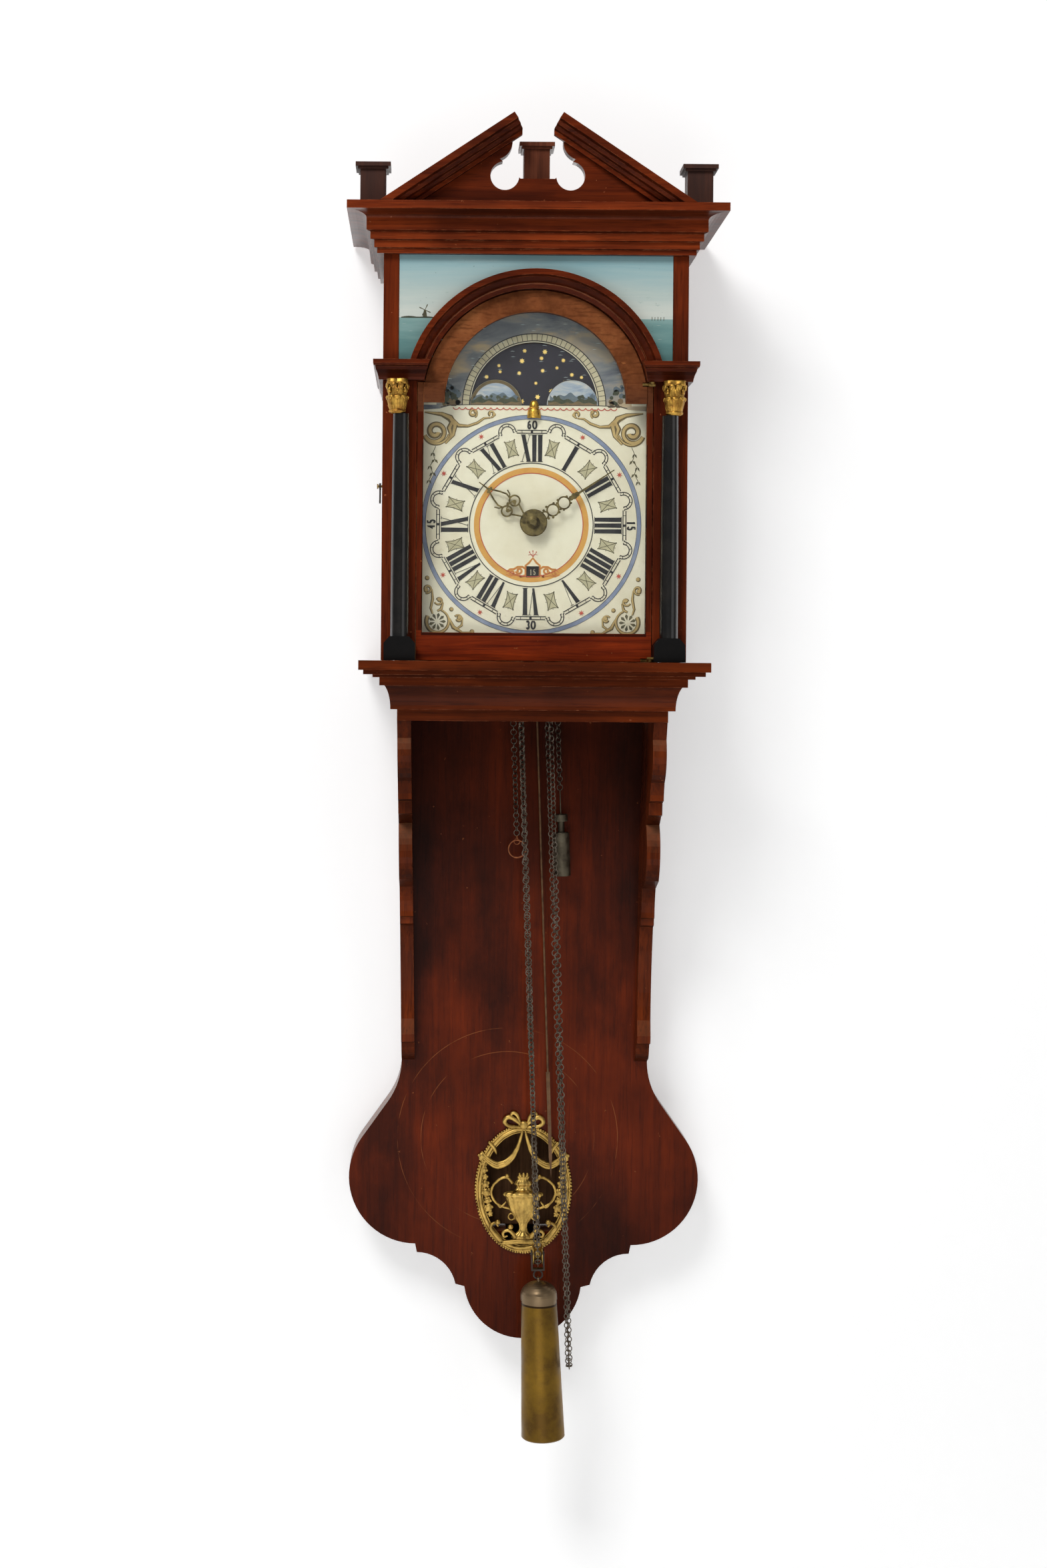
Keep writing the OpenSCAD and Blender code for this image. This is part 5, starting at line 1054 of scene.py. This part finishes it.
def acorn_pointer():
    """The gilt pointer on the dial's top edge: two scaly leaves over a rounded cup."""
    (_, _, z0), (_, y1, _) = in_mm(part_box("moon_pointer"))
    form = Form()
    form.lathe([(0.3, 19.2), (3.0, 18.6), (4.6, 15.5), (5.0, 12.2), (4.6, 10.4), (6.2, 9.4), (7.0, 5.5), (7.1, 2.0),
                (6.4, 0.6), (5.8, 0.2)], 0, y1, z0, 30, 0, 0, 4, (180, 360), 0.95)
    for half, y_end, z_end, y_mid, z_mid, thick in ((4.6, 3.4, 11.6, 5.4, 9.8, 1.1), (6.9, 1.4, 1.2, 6.6, 0.8, 0.9)):
        form.sweep([(-half, y1 - y_end, z0 + z_end), (0, y1 - y_mid, z0 + z_mid), (half, y1 - y_end, z0 + z_end)],
                   [0.8, thick, 0.8])
    form.make("acorn_pointer", "pointer_gilt", "case", "moon_pointer")


def islands(node):
    """The separate solids of a CAD node, as (points in the row frame, faces)."""
    source = NODES[node]
    bm = bmesh.new()
    bm.from_mesh(source.data)
    bmesh.ops.remove_doubles(bm, verts=bm.verts, dist=1e-6)
    bm.verts.ensure_lookup_table()
    bm.verts.index_update()
    seen, found = set(), []
    for first in bm.verts:
        if first.index in seen:
            continue
        stack, group = [first], []
        seen.add(first.index)
        while stack:
            v = stack.pop()
            group.append(v)
            for edge in v.link_edges:
                w = edge.other_vert(v)
                if w.index not in seen:
                    seen.add(w.index)
                    stack.append(w)
        index = {v.index: i for i, v in enumerate(group)}
        faces = {f for v in group for f in v.link_faces}
        found.append(([source.matrix_world @ v.co for v in group],
                      [tuple(index[v.index] for v in f.verts) for f in sorted(faces, key=lambda f: f.index)]))
    bm.free()
    return found


def chain_piece(name, links, material, body, node):
    """One piece made of some of a chain's links."""
    verts, faces = [], []
    for points, polygons in links:
        base = len(verts)
        verts += points
        faces += [tuple(i + base for i in polygon) for polygon in polygons]
    made = new_object(name, verts, faces, material, True)
    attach(made, body)
    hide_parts(node)


WEIGHT_WHEEL_Z, ALARM_WHEEL_Z = SLAB_Z + 0.095, SLAB_Z + 0.060
WEIGHT_TRAVEL, ALARM_TRAVEL = 0.36, 0.08


def middle(points):
    return sum(points, Vector()) / len(points)


def hanging_chains():
    """Chains as pieces: the links on a wheel and the hanging strand stay with the case, and the links under the pulley
    go with the weight.
    """
    pulley_low, pulley_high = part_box("weight_pulley")
    pulley_z = (pulley_low[2] + pulley_high[2]) / 2
    for node, label, wheel_z, end_z, travel, body, joint in (
            ("weight_chain", "weight_strands", WEIGHT_WHEEL_Z, pulley_z, WEIGHT_TRAVEL,
             "main_weight", "main_weight_travel"),
            ("alarm_chain", "alarm_strand", ALARM_WHEEL_Z, None, ALARM_TRAVEL, "alarm_weight", "alarm_weight_travel")):
        links = islands(node)
        over = [l for l in links if middle(l[0]).z >= wheel_z]
        under = [l for l in links if end_z and middle(l[0]).z < end_z]
        strand = [l for l in links if wheel_z > middle(l[0]).z and not (end_z and middle(l[0]).z < end_z)]
        chain_piece(label, strand, "chain_iron", "case", node)
        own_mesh(bpy.data.objects[label])
        if over:
            chain_piece(label + "_on_wheel", over, "chain_iron", "case", node)
        if under:
            chain_piece(label + "_on_pulley", under, "chain_iron", body, node)
    chain_piece("slack_loop", islands("slack_chain"), "chain_iron", "case", "slack_chain")
    pull = islands("pull_chain")
    big = max(pull, key=lambda l: max(p.x for p in l[0]) - min(p.x for p in l[0]))
    chain_piece("pull_links", [l for l in pull if l is not big], "chain_iron", "pull_chain", "pull_chain")
    chain_piece("pull_ring", [big], "copper", "pull_chain", "pull_chain")


def seaside_panel():
    """A plain sea and sky of the builder's own: a dike with a mill at the left, gulls and posts at the right."""
    face = front("painted_panel")
    (x0, _, z0), (x1, _, z1) = in_mm(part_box("painted_panel"))
    horizon = (z0 + z1) / 2
    dike, dark, pale = Paint(), Paint(), Paint()
    shore = [(x0 + 2 + i * 4, horizon + 0.6 + 1.3 * abs(sin(i * 0.7)) * max(0, 1 - i / 14)) for i in range(15)]
    for a, b in zip(shore, shore[1:]):
        dike.poly([(a[0], horizon - 0.4), a, b, (b[0], horizon - 0.4)])
    mill_x, hub_z = x0 + 27, horizon + 8
    dark.poly([(mill_x - 2.2, horizon + 1), (mill_x + 2.2, horizon + 1), (mill_x + 1.2, hub_z), (mill_x - 1.2, hub_z)])
    for turn in (25, 115, 205, 295):
        dark.at(mill_x, hub_z, turn).band([(0, 0), (0, 6.4)], [0.5, 1.1])
    dark.at(0, 0)
    for i in range(5):
        x = x1 - 22 + i * 3.1
        dark.band([(x, horizon - 1.5), (x + 0.2, horizon + 2.6 - 0.3 * (i % 2))], 0.55)
    for x, up, k in ((x1 - 34, 17, 1.0), (x1 - 26, 22, 0.8), (x1 - 16, 14, 0.9), (x0 + 50, 26, 0.7)):
        pale.band([(x + dx * k, horizon + up + dz * k) for dx, dz in
                   ((-3, 0.9), (-1.4, 1.3), (0, 0), (1.4, 1.3), (3, 0.9))], [0.2, 0.6, 0.7, 0.6, 0.2])
    for _ in range(60):
        x, z = rng.uniform(x0 + 3, x1 - 8), horizon - rng.uniform(3, horizon - z0 - 2)
        pale.band([(x, z), (x + 2, z + 0.2), (x + 4.5, z)], [0.1, 0.35, 0.1])
    dike.make("panel_dike", "mid_paint", face - 0.05, "hood")
    dark.make("panel_dark", "olive_line", face - 0.1, "hood")
    pale.make("panel_pale", "foam_paint", face - 0.1, "hood")


# ---------------------------------------------------------------- camera, light and stage

CAMERA_X, CAMERA_Y, CAMERA_Z = -111, -2584, -7
LENS_MM, SENSOR_MM = 52.55, 36
ROLL = -0.46
IMAGE_W, IMAGE_H = 1568, 2349
AXIS_U, AXIS_V = 640, 1000


def photo_camera():
    """The photograph's own place and framing; its axis goes through the image at AXIS_U, AXIS_V."""
    data = bpy.data.cameras.new("camera")
    data.lens = LENS_MM
    data.sensor_width = SENSOR_MM
    data.shift_x = (IMAGE_W / 2 - AXIS_U) / IMAGE_H
    data.shift_y = -(IMAGE_H / 2 - AXIS_V) / IMAGE_H
    data.clip_end = 50
    camera = bpy.data.objects.new("camera", data)
    camera.location = place(CAMERA_X, CAMERA_Y, CAMERA_Z)
    camera.rotation_euler = (radians(90), radians(ROLL), 0)
    bpy.context.collection.objects.link(camera)
    bpy.context.scene.camera = camera


def area_light(name, at, towards, size, power):
    """A lamp whose place and size are in metres."""
    data = bpy.data.lights.new(name, "AREA")
    data.shape = "RECTANGLE"
    data.size, data.size_y = size
    data.energy = power
    lamp = bpy.data.objects.new(name, data)
    lamp.location = at
    lamp.visible_camera = False
    lamp.rotation_euler = (Vector(towards) - Vector(at)).to_track_quat("-Z", "Y").to_euler()
    bpy.context.collection.objects.link(lamp)


WORLD_LIGHT = 0.15


def white_world():
    """Dim light from all round, which the camera sees as white."""
    world = bpy.data.worlds.new("world")
    world.use_nodes = True
    nodes, links = world.node_tree.nodes, world.node_tree.links
    path, strength = nodes.new("ShaderNodeLightPath"), nodes.new("ShaderNodeMapRange")
    links.new(path.outputs["Is Camera Ray"], strength.inputs["Value"])
    strength.inputs["To Min"].default_value = WORLD_LIGHT
    nodes["Background"].inputs["Color"].default_value = (1, 1, 1, 1)
    links.new(strength.outputs["Result"], nodes["Background"].inputs["Strength"])
    bpy.context.scene.world = world


WALL_GLOW = 0.42
PAINTED_SHADE_SIDE, PAINTED_SHADE_LOW, PAINTED_SHADE_HIGH = (0.062, 0.056), (SLAB_Z - 0.676, SLAB_Z - 0.672), (SLAB_Z - 0.58, SLAB_Z - 0.59)
WALL_Y, WALL_TOP, FLOOR_Z, FLOOR_FRONT, STAGE_HALF, BEND = 0.004, 3.5, -1.75, -6.0, 6.0, 0.5


def stage_material():
    """A pale wall that keeps the object's shadow and looks close to white; a patch of painted shade without glow
    darkens it inside the tail's opening.
    """
    s = Shader("stage_white", 0.9, specular=0.1)
    x, z = s.math("ABSOLUTE", s.axis(0)), s.axis(2)
    # Painted shade: a dark patch on the wall behind the tail's opening, with no glow there.
    behind = s.times(s.between(x, *PAINTED_SHADE_SIDE), s.times(s.between(z, *PAINTED_SHADE_LOW), s.between(z, *PAINTED_SHADE_HIGH)))
    s.colour(s.mix(behind, (0.86, 0.86, 0.86, 1), (0.02, 0.015, 0.01, 1)))
    rays = s.add("LightPath").outputs
    seen = s.math("MAXIMUM", rays["Is Camera Ray"], s.math(
        "MAXIMUM", rays["Is Transmission Ray"], rays["Is Glossy Ray"]))
    strength = s.times(s.times(seen, WALL_GLOW), s.math("SUBTRACT", 1.0, behind))
    glow = s.add("Emission", {"Color": (1, 1, 1, 1), "Strength": strength}).outputs[0]
    both = s.add("AddShader", {0: s.main.outputs[0], 1: glow}).outputs[0]
    from_behind = s.times(rays["Is Camera Ray"], s.add("NewGeometry").outputs["Backfacing"])
    s.clear_where(s.math("MAXIMUM", rays["Is Shadow Ray"], from_behind), both)


def backdrop():
    """A wall behind the clock that curves into a floor below it; neither hides the clock from behind or below."""
    profile = [(WALL_Y, WALL_TOP), (WALL_Y, FLOOR_Z + BEND)]
    profile += [(WALL_Y - BEND + BEND * cos(a), FLOOR_Z + BEND - BEND * sin(a))
                for a in [radians(d) for d in range(10, 91, 10)]]
    profile.append((FLOOR_FRONT, FLOOR_Z))
    verts = [(x, y, z) for y, z in profile for x in (-STAGE_HALF, STAGE_HALF)]
    faces = [(2 * i + 2, 2 * i + 3, 2 * i + 1, 2 * i) for i in range(len(profile) - 1)]
    stage_material()
    made = new_object("backdrop", verts, faces, "stage_white", True)


photo_camera()
area_light("key", (-1.3, -2.5, 2.2), (0, 0, -0.4), (1.3, 1.3), 70)
area_light("fill", (2.4, -2.6, 0.4), (0, 0, -0.5), (2.0, 2.4), 9)
area_light("low", (-0.4, -3.0, -1.3), (0, 0, -0.7), (2.0, 1.0), 13)
area_light("back", (0, 2.0, -0.1), (0, 0, -0.1), (0.25, 1.2), 16)
white_world()
backdrop()
painted_dial()
seaside_panel()
carved_capitals()
cast_ornament()
acorn_pointer()
hanging_chains()

bpy.context.scene.view_settings.view_transform = "Standard"
